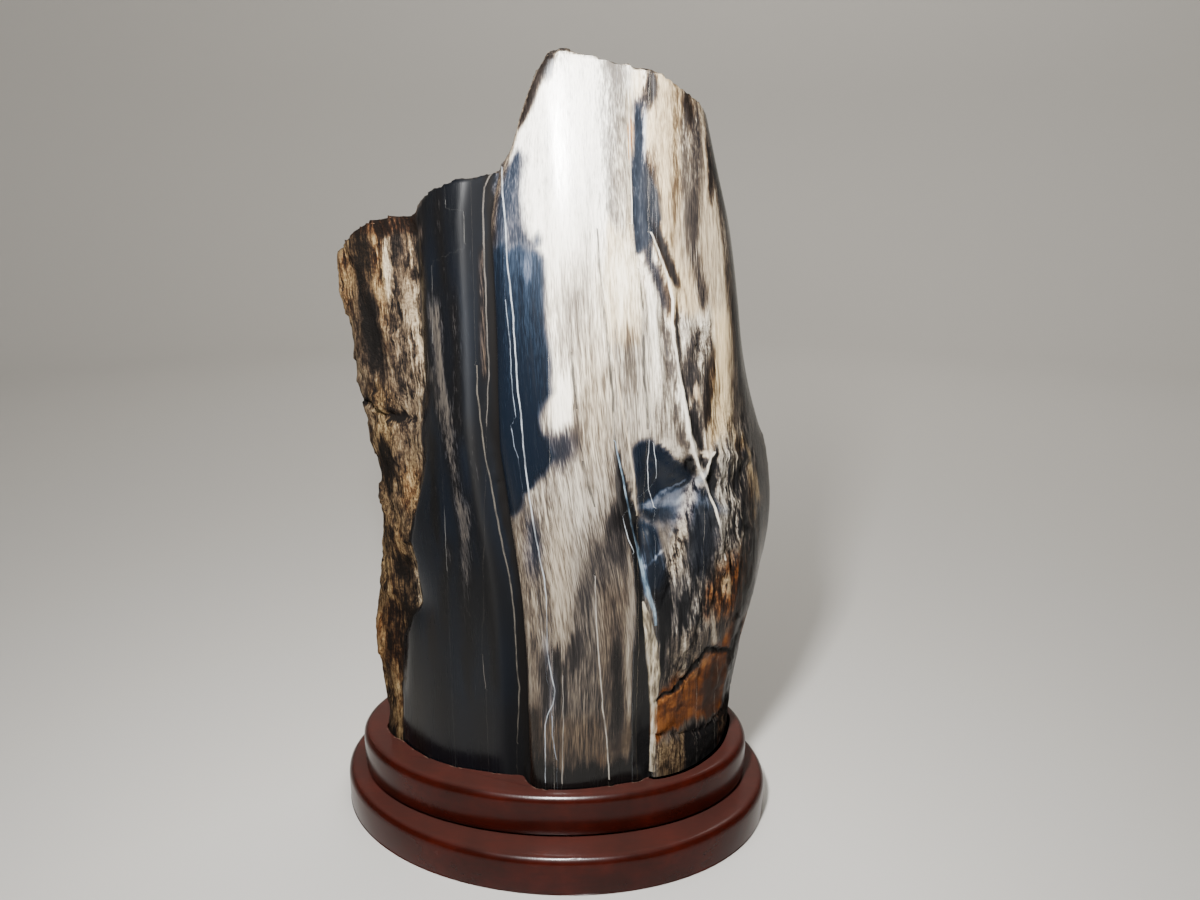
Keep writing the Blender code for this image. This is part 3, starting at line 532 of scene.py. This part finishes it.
# Veins of agate and dark cracks, three to an attribute. Each has its strength, the softness of its
# edge, how much wider it is drawn than it is, so that it shows, its colour, which is mottled where
# it has several, and its points of (across, height, width) in mm.
VEINS = {
    "veins_pale": (
        (0.8, 0.5, 1.0, "#a3a9b0", (
            (-18, 372, 1.0), (-17.5, 360, 1.0), (-16, 345, 1.0), (-15.5, 330, 0.8), (-14, 310, 0.9),
            (-13, 303, 0.9), (-13, 295, 0.8), (-12.5, 285, 0.9), (-12, 270, 0.9), (-11, 260, 0.8), (-10, 250, 0.9),
            (-9.5, 240, 0.8), (-8.5, 230, 0.8), (-8, 222, 0.9), (-7, 212, 0.9), (-5, 198, 0.9), (-3, 185, 0.8),
            (0, 170, 0.9), (1, 158, 0.7), (1, 150, 0.2), (1, 130, 0.3), (2, 122, 0.6), (3.2, 115, 0.8),
            (4.8, 107, 0.7), (3.4, 98, 0.8), (0.5, 92, 0.6), (-1, 86, 0.6), (-1, 50, 0.6))),
        (0.65, 0.5, 1.0, "#8d97a3", (
            (-17, 310, 0.4), (-16, 300, 0.5), (-15, 288, 0.5), (-15, 275, 0.4), (-14, 262, 0.5), (-13.2, 253, 0.3),
            (-13.2, 252, 0.0), (-15.5, 249, 0.0), (-15.5, 248, 0.5), (-14, 238, 0.5), (-12, 232, 0.3),
            (-12, 231, 0.0), (3, 94, 0.0), (3, 92, 0.9), (3, 80, 0.8), (5, 65, 0.3))),
        (0.4, 0.5, 1.0, "#77716a", (
            (-22, 372, 0.8), (-27, 362, 0.9), (-28, 350, 0.9), (-27.5, 300, 0.8), (-27.3, 272, 0.7),
            (-29, 246, 0.6), (-29, 244, 0.0), (-35, 121, 0.0), (-35, 120, 0.5), (-34, 98, 0.4)))),
    "veins_grey": (
        (0.5, 0.5, 1.0, "#6e685f", (
            (-33, 277, 0.6), (-33, 262, 0.9), (-32, 250, 0.8), (-31, 240, 0.9), (-30, 230, 0.8), (-28, 218, 0.9),
            (-26, 205, 1.0), (-23, 185, 1.0), (-20, 170, 0.9), (-18, 155, 1.0), (-17, 140, 0.9), (-16.5, 120, 0.8),
            (-15.5, 100, 0.8), (-16.5, 80, 0.7), (-17.5, 66, 0.4))),
        (0.5, 0.5, 1.0, "#6a6966", (
            (-46, 357, 0.3), (-46.3, 353, 0.3), (-46.3, 352, 0.0), (-37, 351, 0.0), (-37, 350, 0.4),
            (-37, 335, 0.3), (-37, 334, 0.0), (-55, 326, 0.0), (-55, 325, 0.5), (-56.5, 285, 0.4),
            (-56.5, 284, 0.0), (-53, 201, 0.0), (-53, 200, 0.5), (-53, 165, 0.4))),
        (0.8, 0.5, 1.0, "#b9c0c6", (
            (55, 241, 0.4), (57, 228, 0.4), (58, 219, 0.4), (58, 218, 0.0), (40, 203, 0.0), (40, 202, 0.5),
            (43, 190, 0.6), (46, 182, 0.4)))),
    "veins_white": (
        (0.7, 0.5, 1.0, "#8f8a83", ((9, 116, 0.4), (9, 90, 0.6), (8.5, 75, 0.7), (8, 50, 0.7))),
        (0.8, 0.5, 1.0, "#a59f96", (
            (26, 172, 0.4), (26.5, 150, 0.8), (27.5, 130, 0.8), (29, 110, 0.8), (30, 95, 0.9), (32, 78, 0.8),
            (33, 60, 0.9), (33.5, 50, 0.9))),
        (0.8, 0.5, 1.0, "#efe9dd", ((41, 416, 0.7), (42, 400, 0.8), (43.8, 345, 0.6), (4, 344, 0.0)))),
    "cracks": (
        (0.85, 0.5, 3.4, "#2a2827", (
            (15, 286, 0.3), (16, 270, 0.6), (17, 258, 0.5), (17, 257, 0.0), (20, 233, 0.0), (20, 232, 0.5),
            (23, 219, 0.6), (26, 207, 0.3))),
        (0.85, 0.5, 2.8, "#2a2827", (
            (27, 344, 0.3), (28, 330, 0.5), (29, 318, 0.6), (30, 312, 0.6), (31, 300, 0.6), (33, 285, 0.6),
            (34.5, 265, 0.6), (35.5, 250, 0.6), (36, 240, 0.7), (36.5, 225, 0.8), (38, 212, 0.9), (40, 202, 0.6))),
        (0.85, 0.5, 2.8, "#2a2827", (
            (47, 326, 0.3), (49, 305, 0.6), (49.5, 290, 0.6), (50, 272, 0.7), (51.5, 258, 0.6), (52.5, 246, 0.7)))),
    "veins_cream": (
        (0.75, 0.5, 1.0, "#b9aa92", (
            (30, 311, 0.5), (33, 298, 1.0), (36, 280, 1.0), (38, 265, 1.1), (41, 250, 1.1), (43, 238, 1.1),
            (45, 225, 1.2), (47, 210, 1.1), (49, 199, 0.8))),
        (0.9, 0.25, 1.0, ((0.35, "#6b5f4c"), (0.5, "#a39780"), (0.65, "#b7b0a4")), (
            (51.5, 155, 1.2), (54, 142, 5.0), (56, 128, 7.4), (57.5, 112, 7.6), (57.8, 95, 6.0), (58, 80, 4.6),
            (57.5, 75, 4.0), (57, 50, 3.6))),
        (0.8, 0.5, 0.7, "#c9cdd2", ((53, 243, 0.8), (53, 238, 0.6), (53, 225, 0.5), (54, 215, 0.5), (57, 203, 0.4)))),
    "veins_broad": (
        (0.85, 0.5, 1.0, "#d9d2c4", (
            (51, 343, 0.8), (53, 340, 1.2), (57, 330, 1.3), (60, 322, 1.2), (63, 310, 1.3), (63.5, 300, 1.5),
            (64, 290, 1.7), (66, 280, 1.7), (68, 270, 1.6), (69.5, 262, 1.6), (71, 252, 1.7), (73, 243, 1.8),
            (76, 233, 1.7), (79, 225, 1.8), (82, 218, 1.8), (84, 214, 1.7), (87, 207, 1.6), (89, 200, 1.5),
            (91, 190, 1.2), (95, 170, 0.8))),
        (0.85, 0.5, 1.0, "#d9d2c4", ((87, 234, 1.2), (85, 228, 2.0), (83, 219, 1.6))),
        (0.9, 0.5, 1.0, ((0.35, "#3f5160"), (0.5, "#5d7080"), (0.68, "#93a2ac")), (
            (36, 242, 0.7), (37, 236, 0.9), (40, 222, 1.0), (42, 212, 1.2), (44, 203, 1.3), (47, 190, 1.6),
            (50, 178, 1.9), (52, 168, 2.3), (54, 158, 2.8), (57, 148, 2.6), (58.5, 138, 1.2)))),
}
wobble = lumps(60.0, 7.0, 31.0)


def across_from(points, thickness):
    """Signed distance across from a vein, in half-widths."""
    ordered = sorted(points, key=lambda point: point[1])
    width = np.interp(height, [p[1] for p in ordered], [p[2] for p in ordered], left=0.0, right=0.0)
    width = 0.78 * thickness * width * fade(-2.0, -6.0, depth)
    return np.clip((across + 0.35 * wobble - line_at(points)) / np.maximum(0.5 * width, 0.01), -60.0, 60.0)


for attribute, veins in VEINS.items():
    keep(attribute, *(across_from(points, thickness) for strength, edge, thickness, colour, points in veins))


def linear(hex_colour):
    """An sRGB hex colour as the linear values that a shader takes."""
    channels = [int(hex_colour[place:place + 2], 16) / 255.0 for place in (1, 3, 5)]
    return tuple(c / 12.92 if c <= 0.04045 else ((c + 0.055) / 1.055) ** 2.4 for c in channels) + (1.0,)


def add_node(tree, kind, inputs=(), stops=(), **settings):
    """Adds a node. Its inputs, in order or by name or number, are values, sRGB hex colours or other
    nodes' outputs, and stops are the places and hex colours of a ramp."""
    node = tree.nodes.new("ShaderNode" + kind)
    for name, value in settings.items():
        setattr(node, name, value)
    for socket, value in inputs.items() if isinstance(inputs, dict) else enumerate(inputs):
        if isinstance(value, bpy.types.NodeSocket):
            tree.links.new(value, node.inputs[socket])
        else:
            node.inputs[socket].default_value = linear(value) if isinstance(value, str) else value
    for number, (place, colour) in enumerate(stops):
        stop = node.color_ramp.elements[number] if number < 2 else node.color_ramp.elements.new(place)
        stop.position = place
        stop.color = linear(colour)
    return node


def polished_fossil_wood():
    """Agatised wood: cream to black fibres turned to chalcedony and lapped to a soft gloss, thin
    veins of white and blue agate, and dull sugary bark where it was never polished."""
    stone = bpy.data.materials.new("polished agatised wood with bark")
    stone.use_nodes = True
    tree = stone.node_tree
    shader = tree.nodes["Principled BSDF"]
    soft = {"interpolation_type": "SMOOTHSTEP"}

    def read(attribute):
        """The three fields that were kept together."""
        vector = add_node(tree, "Attribute", attribute_name=attribute).outputs["Vector"]
        return add_node(tree, "SeparateXYZ", (vector,)).outputs

    def fibres(across_mm, along_mm, detail, rough=0.55):
        """Streaks along the grain, as wide and as long as given."""
        size = (1.0 / (across_mm * MM), 1.0 / (across_mm * MM), 1.0 / (along_mm * MM))
        stretched = add_node(tree, "Mapping", {"Vector": grain, "Scale": size}).outputs["Vector"]
        return add_node(tree, "TexNoise", {"Vector": stretched, "Scale": 1.0, "Detail": detail,
                                           "Roughness": rough}).outputs["Fac"]

    def stirred(base, pattern, where, amount):
        """A tone with a pattern stirred into it, as far as where reaches."""
        swing = add_node(tree, "Math", (pattern, 0.5), operation="SUBTRACT").outputs[0]
        held = add_node(tree, "Math", (swing, where), operation="MULTIPLY").outputs[0]
        return add_node(tree, "Math", (held, amount, base), operation="MULTIPLY_ADD").outputs[0]

    def overlaid(under, share, over):
        """One colour laid over another, a ramp of colours being mottled by the gaps between fibres."""
        if isinstance(over, tuple):
            over = add_node(tree, "ValToRGB", (gaps,), over).outputs["Color"]
        return add_node(tree, "Mix", {0: share, 6: under, 7: over}, data_type="RGBA").outputs[2]

    grain = add_node(tree, "Attribute", attribute_name="grain").outputs["Vector"]
    pale_tone, deep_tone, share = read("tone")
    bluish, tanned, rusted = read("hue")
    stringy, rough, glassy = read("crust")

    threads = fibres(0.5, 9.0, 2.0)
    strands = fibres(1.7, 42.0, 4.0, 0.6)
    bands = fibres(6.5, 130.0, 3.0)
    gaps = fibres(1.9, 13.0, 4.0, 0.62)
    grit = fibres(1.2, 1.7, 4.0, 0.7)
    clumps = fibres(4.6, 11.0, 4.0, 0.65)
    cloudy = fibres(9.0, 8.0, 4.0, 0.6)

    coarse = add_node(tree, "MapRange", (rough, 0.5, 0.8), **soft).outputs[0]
    wild = add_node(tree, "Math", (stringy, coarse), operation="MAXIMUM").outputs[0]
    fibrous = add_node(tree, "Math", (glassy, -0.85, 1.0), operation="MULTIPLY_ADD").outputs[0]
    for pattern, where, amount in ((threads, fibrous, 1.0), (strands, fibrous, 0.75), (cloudy, glassy, 1.6),
                                   (gaps, stringy, 2.2), (clumps, coarse, 2.0)):
        share = stirred(share, pattern, where, amount)
    mixed = add_node(tree, "MapRange", (share, 0.14, 0.86), **soft).outputs[0]
    tone = add_node(tree, "Mix", {0: mixed, 2: pale_tone, 3: deep_tone}, data_type="FLOAT").outputs[0]
    for pattern, where, amount in ((threads, fibrous, 0.28), (strands, fibrous, 0.32), (bands, 1.0, 0.26),
                                   (grit, wild, 0.6)):
        tone = stirred(tone, pattern, where, amount)

    face = add_node(tree, "ValToRGB", (tone,), (
        (0.0, "#f4f0e8"), (0.18, "#adaba4"), (0.43, "#6b6762"), (0.57, "#4b4742"), (0.77, "#272627"), (0.9, "#161617"),
        (1.0, "#0a0a0b"))).outputs["Color"]
    navy_chalcedony = ((0.0, "#e0e6ee"), (0.18, "#97a3b1"), (0.48, "#535a68"), (0.7, "#2b3442"), (0.82, "#1b2430"),
                       (1.0, "#0b111a"))
    tan_wood = ((0.0, "#f6e7c6"), (0.15, "#d3ba8c"), (0.3, "#a38d68"), (0.43, "#7a6646"), (0.6, "#4e3b25"),
                (0.8, "#291e14"), (1.0, "#0d0906"))
    rust_stain = ((0.0, "#eaca88"), (0.2, "#bb8a46"), (0.36, "#8c5c2b"), (0.5, "#6c401b"), (0.65, "#4e290e"),
                  (0.8, "#2c1608"), (1.0, "#0f0703"))
    blotched = add_node(tree, "MapRange", (stirred(rusted, clumps, wild, 1.2), 0.1, 0.9), **soft).outputs[0]
    for reach, stops in ((bluish, navy_chalcedony), (tanned, tan_wood), (blotched, rust_stain)):
        face = overlaid(face, reach, add_node(tree, "ValToRGB", (tone,), stops).outputs["Color"])

    broken_up = add_node(tree, "MapRange", (gaps, 0.34, 0.56, 0.3, 1.0), **soft).outputs[0]
    for attribute, veins in VEINS.items():
        for distance, (strength, edge, thickness, colour, points) in zip(read(attribute), veins):
            away = add_node(tree, "Math", (distance,), operation="ABSOLUTE").outputs[0]
            inside = add_node(tree, "MapRange", (away, 1.0 + edge, 1.0 - edge, 0.0, strength), **soft).outputs[0]
            shown = add_node(tree, "Math", (inside, broken_up), operation="MULTIPLY").outputs[0]
            face = overlaid(face, shown, colour)
    tree.links.new(face, shader.inputs["Base Color"])

    worn_dull = add_node(tree, "MapRange", (rough, 0.0, 0.5), **soft).outputs[0]
    torn = add_node(tree, "Math", (stringy, 0.6), operation="MULTIPLY").outputs[0]
    dull = add_node(tree, "Math", (worn_dull, torn), operation="MAXIMUM").outputs[0]
    gloss = add_node(tree, "MapRange", (strands, 0.3, 0.7, 0.19, 0.29), **soft).outputs[0]
    for socket, polished, raw in (("Roughness", gloss, 0.85), ("Specular IOR Level", 0.2, 0.04)):
        level = add_node(tree, "Mix", {0: dull, 2: polished, 3: raw}, data_type="FLOAT").outputs[0]
        tree.links.new(level, shader.inputs[socket])
    shader.inputs["IOR"].default_value = 1.54

    sugar = add_node(tree, "Math", (grit, coarse), operation="MULTIPLY").outputs[0]
    relief = add_node(tree, "Math", (gaps, stringy, sugar), operation="MULTIPLY_ADD").outputs[0]
    skin = add_node(tree, "Bump", {"Height": threads, "Strength": 0.1, "Distance": 0.4 * MM}).outputs["Normal"]
    rough_skin = add_node(tree, "Bump", {"Height": relief, "Normal": skin, "Strength": 0.8, "Distance": 1.4 * MM})
    tree.links.new(rough_skin.outputs["Normal"], shader.inputs["Normal"])
    return stone


fossil.data.materials.append(polished_fossil_wood())
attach(fossil, "root")
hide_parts("petrified_wood")

# The lower board of the stand: solid hardwood sawn to an oval and rounded over at the top,
# then stained and brushed with several coats of dark red lacquer.
BASE_HALF_WIDTH = 129.6 * MM
BASE_HALF_DEPTH = 95.0 * MM
BASE_TURN = math.radians(-8.5)
BASE_THICKNESS = 22.0 * MM
TOP_ROUNDING = 5.0 * MM
FOOT_ROUNDING = 1.2 * MM
OVAL_SIDES = 160
SMOOTH_UP_TO = math.radians(25.0)
ORIGIN = (0.0, 0.0, 0.0)


def select_where(piece, wanted, kind):
    """Selects the vertices, edges or faces of a piece in edit mode for which wanted(part) is true."""
    bpy.ops.mesh.select_mode(type={"verts": "VERT", "edges": "EDGE", "faces": "FACE"}[kind])
    bpy.ops.mesh.select_all(action="DESELECT")
    shape = bmesh.from_edit_mesh(piece.data)
    for part in getattr(shape, kind):
        if wanted(part):
            part.select_set(True)
    shape.select_flush_mode()
    bmesh.update_edit_mesh(piece.data)


def oval_board(name, half_width, half_depths, turn, forward, bottom, top, foot_rounding):
    """A rounded oval board: a circle pulled to its front and back depths, turned, raised and beveled."""
    bpy.ops.object.select_all(action="DESELECT")
    bpy.ops.mesh.primitive_circle_add(vertices=OVAL_SIDES, radius=1.0, fill_type="NGON", location=ORIGIN)
    board = bpy.context.object
    board.name = name
    bpy.ops.object.mode_set(mode="EDIT")
    for side, half_depth in zip((-1.0, 1.0), half_depths):
        select_where(board, lambda part: part.co.y * side > 1e-6, "verts")
        bpy.ops.transform.resize(value=(1.0, half_depth, 1.0), center_override=ORIGIN)
    bpy.ops.mesh.select_all(action="SELECT")
    bpy.ops.transform.resize(value=(half_width, 1.0, 1.0), center_override=ORIGIN)
    bpy.ops.transform.rotate(value=-turn, orient_axis="Z", center_override=ORIGIN)
    bpy.ops.transform.translate(value=(0.0, -forward, bottom))
    bpy.ops.mesh.select_mode(type="FACE")
    bpy.ops.mesh.select_all(action="SELECT")
    bpy.ops.mesh.extrude_region_move(TRANSFORM_OT_translate={"value": (0.0, 0.0, top - bottom)})
    for level, rounding, steps in ((top, TOP_ROUNDING, 7), (bottom, foot_rounding, 5)):
        select_where(board, lambda part: all(abs(v.co.z - level) < 1e-6 for v in part.verts), "edges")
        bpy.ops.mesh.bevel(offset=rounding, segments=steps, affect="EDGES")
    bpy.ops.mesh.select_all(action="SELECT")
    bpy.ops.mesh.normals_make_consistent(inside=False)
    bpy.ops.object.mode_set(mode="OBJECT")
    return board


def uneven(piece):
    """Hand sanding leaves soft hollows of a few tenths of a millimetre round a board."""
    sides = [(v, v.co.copy(), v.normal.copy()) for v in piece.data.vertices if -0.5 <= v.normal.z <= 0.9]
    for vertex, place, normal in sides:
        slow = noise.noise(place * 22.0) + 0.4 * noise.noise(place * 60.0)
        vertex.co = place + Vector((normal.x, normal.y, 0.0)) * (slow - 1.2) * 0.3 * MM
    piece.data.update()


def brushed_lacquer():
    """Dark red-brown lacquer brushed on hardwood. A thick clear gloss over a stain that pooled a
    little unevenly, with fine dust in it and brush drag that only shows in the reflections. Its
    upward faces are painted paler, for settled dust and a painted sheen."""
    finish = bpy.data.materials.new("brushed red-brown lacquer on hardwood")
    finish.use_nodes = True
    tree = finish.node_tree
    shader = tree.nodes["Principled BSDF"]
    place = add_node(tree, "TexCoord").outputs["Object"]

    def lumpy(size_mm, detail, where=place, rough=0.5):
        """Noise in the finish whose lumps have this size."""
        return add_node(tree, "TexNoise", {"Vector": where, "Scale": 1.0 / (size_mm * MM), "Detail": detail,
                                           "Roughness": rough}).outputs["Fac"]

    pooled = lumpy(1000.0 / 38.0, 4.0, rough=0.6)
    along_grain = add_node(tree, "Mapping", {"Vector": place, "Scale": (0.04, 0.42, 0.42)}).outputs["Vector"]
    streaks = add_node(tree, "MapRange", (lumpy(1.0, 3.0, along_grain), 0.45, 0.8, 0.0, 0.5)).outputs[0]
    rubbed = add_node(tree, "Attribute", attribute_name="worn").outputs["Fac"]
    upwards = add_node(tree, "SeparateXYZ", (add_node(tree, "NewGeometry").outputs["Normal"],)).outputs["Z"]
    # Upward faces are painted paler: settled dust and a painted sheen on the tops of the boards.
    dust_and_sheen = add_node(tree, "MapRange", (upwards, 0.7, 1.0, 0.0, 0.13)).outputs[0]
    colour = add_node(tree, "ValToRGB", (pooled,), ((0.32, "#230602"), (0.55, "#300903"), (0.75, "#3d0e05"))).outputs[0]
    for share, over in ((streaks, "#1a0906"), (rubbed, "#8d6f60"), (dust_and_sheen, "#84605a")):
        colour = add_node(tree, "Mix", {0: share, 6: colour, 7: over}, data_type="RGBA").outputs[2]
    tree.links.new(colour, shader.inputs["Base Color"])

    drag = add_node(tree, "Bump", {"Height": lumpy(1000.0 / 26.0, 2.0), "Strength": 0.1, "Distance": 4.0 * MM})
    specks = add_node(tree, "Bump", {"Height": lumpy(1000.0 / 900.0, 1.0), "Normal": drag.outputs["Normal"],
                                     "Strength": 0.06, "Distance": 0.5 * MM})
    tree.links.new(specks.outputs["Normal"], shader.inputs["Normal"])
    sheen = add_node(tree, "MapRange", (pooled, 0.0, 1.0, 0.17, 0.32)).outputs[0]
    tree.links.new(sheen, shader.inputs["Roughness"])
    shader.inputs["IOR"].default_value = 1.5
    shader.inputs["Specular IOR Level"].default_value = 0.14
    shader.inputs["Coat Weight"].default_value = 0.06
    shader.inputs["Coat Roughness"].default_value = 0.12
    return finish


lacquer = brushed_lacquer()
base_board = oval_board("base_board", BASE_HALF_WIDTH, (BASE_HALF_DEPTH, BASE_HALF_DEPTH), BASE_TURN, 0.0,
                        0.0, BASE_THICKNESS, FOOT_ROUNDING)
uneven(base_board)
base_board.data.materials.append(lacquer)
bpy.ops.object.shade_smooth_by_angle(angle=SMOOTH_UP_TO)
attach(base_board, "root")
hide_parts("stand_base")

# The upper board of the stand: a smaller oval glued on the first, rounded over at both edges,
# with a seat chiselled to the outline of the stone's foot. The lacquer is chipped along the seat.
TIER_HALF_WIDTH = 117.2 * MM
TIER_HALF_DEPTHS = (75.5 * MM, 82.0 * MM)
TIER_TURN = math.radians(-4.5)
TIER_FORWARD = 3.5 * MM
TIER_BOTTOM = 22.3 * MM
STAND_HEIGHT = 47.7 * MM
SEAT_BOTTOM = 35.3 * MM
SEAT_CENTRE = (4.0 * MM, 0.0, 0.0)
SEAT_CLEARANCE = 1.003
UNDERCUT = 5.0 * MM
RIM_ROUNDING = 0.6 * MM
CHIPPED_BAND = 1.6 * MM
upper_board = oval_board("upper_board", TIER_HALF_WIDTH, TIER_HALF_DEPTHS, TIER_TURN, TIER_FORWARD,
                         TIER_BOTTOM, STAND_HEIGHT, UNDERCUT)

# The chisel is the stone's own foot, cut off above the board and a hair larger.
chisel = bpy.data.objects.new("chisel", fossil.data.copy())
bpy.context.scene.collection.objects.link(chisel)
pick(chisel)
bpy.ops.object.mode_set(mode="EDIT")
bpy.ops.mesh.select_all(action="SELECT")
bpy.ops.mesh.bisect(plane_co=(0.0, 0.0, STAND_HEIGHT + 2.0 * MM), plane_no=(0.0, 0.0, 1.0), clear_outer=True,
                    use_fill=True)
bpy.ops.mesh.select_all(action="SELECT")
bpy.ops.transform.resize(value=(SEAT_CLEARANCE, SEAT_CLEARANCE, 1.0), center_override=SEAT_CENTRE)
bpy.ops.transform.translate(value=(0.0, 0.0, SEAT_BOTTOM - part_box("petrified_wood")[0].z))
bpy.ops.object.mode_set(mode="OBJECT")
pick(upper_board)
seat_cut = upper_board.modifiers.new("seat", "BOOLEAN")
seat_cut.operation = "DIFFERENCE"
seat_cut.solver = "EXACT"
seat_cut.object = chisel
bpy.ops.object.modifier_apply(modifier=seat_cut.name)
bpy.data.objects.remove(chisel, do_unlink=True)


def at_top(part):
    """Whether an edge or a face lies in the board's flat top."""
    return all(abs(v.co.z - STAND_HEIGHT) < 1e-5 for v in part.verts)


def on_seat_rim(edge):
    """The sharp edge between the board's flat top and the wall of the seat."""
    return at_top(edge) and len(edge.link_faces) == 2 and min(abs(f.normal.z) for f in edge.link_faces) < 0.3


bpy.ops.object.mode_set(mode="EDIT")
select_where(upper_board, on_seat_rim, "edges")
bpy.ops.mesh.bevel(offset=RIM_ROUNDING, segments=2, affect="EDGES", clamp_overlap=True)
select_where(upper_board, lambda face: face.normal.z > 0.99 and at_top(face), "faces")
bpy.ops.mesh.inset(thickness=1.2 * MM, depth=0.0, use_even_offset=False)
bpy.ops.object.mode_set(mode="OBJECT")
uneven(upper_board)

rim_wear = np.zeros(len(upper_board.data.vertices), np.float32)
on_top = {index for face in upper_board.data.polygons if len(face.vertices) > 4 and face.normal.z > 0.99
          for index in face.vertices}
for index, vertex in enumerate(upper_board.data.vertices):
    near_rim = STAND_HEIGHT - CHIPPED_BAND < vertex.co.z and index not in on_top
    outward = (vertex.co.x / TIER_HALF_WIDTH) ** 2 + ((vertex.co.y + TIER_FORWARD) / TIER_HALF_DEPTHS[0]) ** 2
    if near_rim and outward < 0.82:
        chipped_away = noise.noise(vertex.co * 150.0) + 0.6 * noise.noise(vertex.co * 420.0)
        rim_wear[index] = min(max((chipped_away - 0.16) * 3.0, 0.0), 0.8)
        vertex.co.z -= rim_wear[index] * 0.7 * MM
upper_board.data.attributes.new("worn", "FLOAT", "POINT").data.foreach_set("value", rim_wear)
upper_board.data.materials.append(lacquer)
pick(upper_board)
bpy.ops.object.shade_smooth_by_angle(angle=SMOOTH_UP_TO)
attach(upper_board, "root")
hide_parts("stand_upper_tier")

# The place it stands: a pale matt table top that turns up into a plain backdrop all round.
FLOOR_RADIUS = 2.6
BACKDROP_HEIGHT = 2.6
COVE = 0.7
bpy.ops.object.select_all(action="DESELECT")
bpy.ops.mesh.primitive_circle_add(vertices=96, radius=FLOOR_RADIUS, fill_type="NGON", location=ORIGIN)
table_top = bpy.context.object
table_top.name = "table_top"
bpy.ops.object.mode_set(mode="EDIT")
bpy.ops.mesh.select_mode(type="EDGE")
bpy.ops.mesh.select_all(action="SELECT")
bpy.ops.mesh.extrude_region_move(TRANSFORM_OT_translate={"value": (0.0, 0.0, BACKDROP_HEIGHT)})
select_where(table_top, lambda part: all(abs(v.co.z) < 1e-4 for v in part.verts), "edges")
bpy.ops.mesh.bevel(offset=COVE, segments=14, affect="EDGES")
select_where(table_top, lambda part: all(v.co.z > BACKDROP_HEIGHT - 1e-4 for v in part.verts), "faces")
bpy.ops.mesh.delete(type="ONLY_FACE")
bpy.ops.mesh.select_all(action="SELECT")
bpy.ops.mesh.normals_make_consistent(inside=True)
bpy.ops.object.mode_set(mode="OBJECT")
bpy.ops.object.shade_smooth()
matt = bpy.data.materials.new("pale matt paint")
matt.use_nodes = True
matt.node_tree.nodes["Principled BSDF"].inputs["Base Color"].default_value = linear("#cccac6")
matt.node_tree.nodes["Principled BSDF"].inputs["Roughness"].default_value = 0.7
table_top.data.materials.append(matt)

# Soft room light: a lamp in front whose reflection glares on the column, a large one high behind,
# and the pale air of the room.
LAMP_TARGET = (-0.01, -0.06, 0.37)


def area_light(name, place, target, size, power, colour):
    """A soft rectangular light, its width and height given, at a place and turned towards a target."""
    bpy.ops.object.light_add(type="AREA", location=place)
    light = bpy.context.object
    light.name = name
    light.data.shape = "RECTANGLE"
    light.data.size, light.data.size_y = size
    light.data.energy = power
    light.data.color = linear(colour)[:3]
    light.rotation_euler = (Vector(target) - Vector(place)).to_track_quat("-Z", "Y").to_euler()
    return light


area_light("front_light", (-0.035, -0.36, 0.47), LAMP_TARGET, (0.046, 0.075), 7.6, "#fffdfa")
area_light("ceiling_light", (0.35, 1.1, 2.0), (0.1, 1.5, 0.2), (1.4, 1.4), 32.0, "#fffaf2")
sheen_box = area_light("sheen_box", (-0.035, -0.37, 0.48), LAMP_TARGET, (0.09, 0.12), 13.0, "#ffffff")
sheen_box.visible_diffuse = False
world = bpy.data.worlds.new("soft room light")
world.use_nodes = True
world.node_tree.nodes["Background"].inputs["Color"].default_value = linear("#d9dde3")
world.node_tree.nodes["Background"].inputs["Strength"].default_value = 0.09
bpy.context.scene.world = world
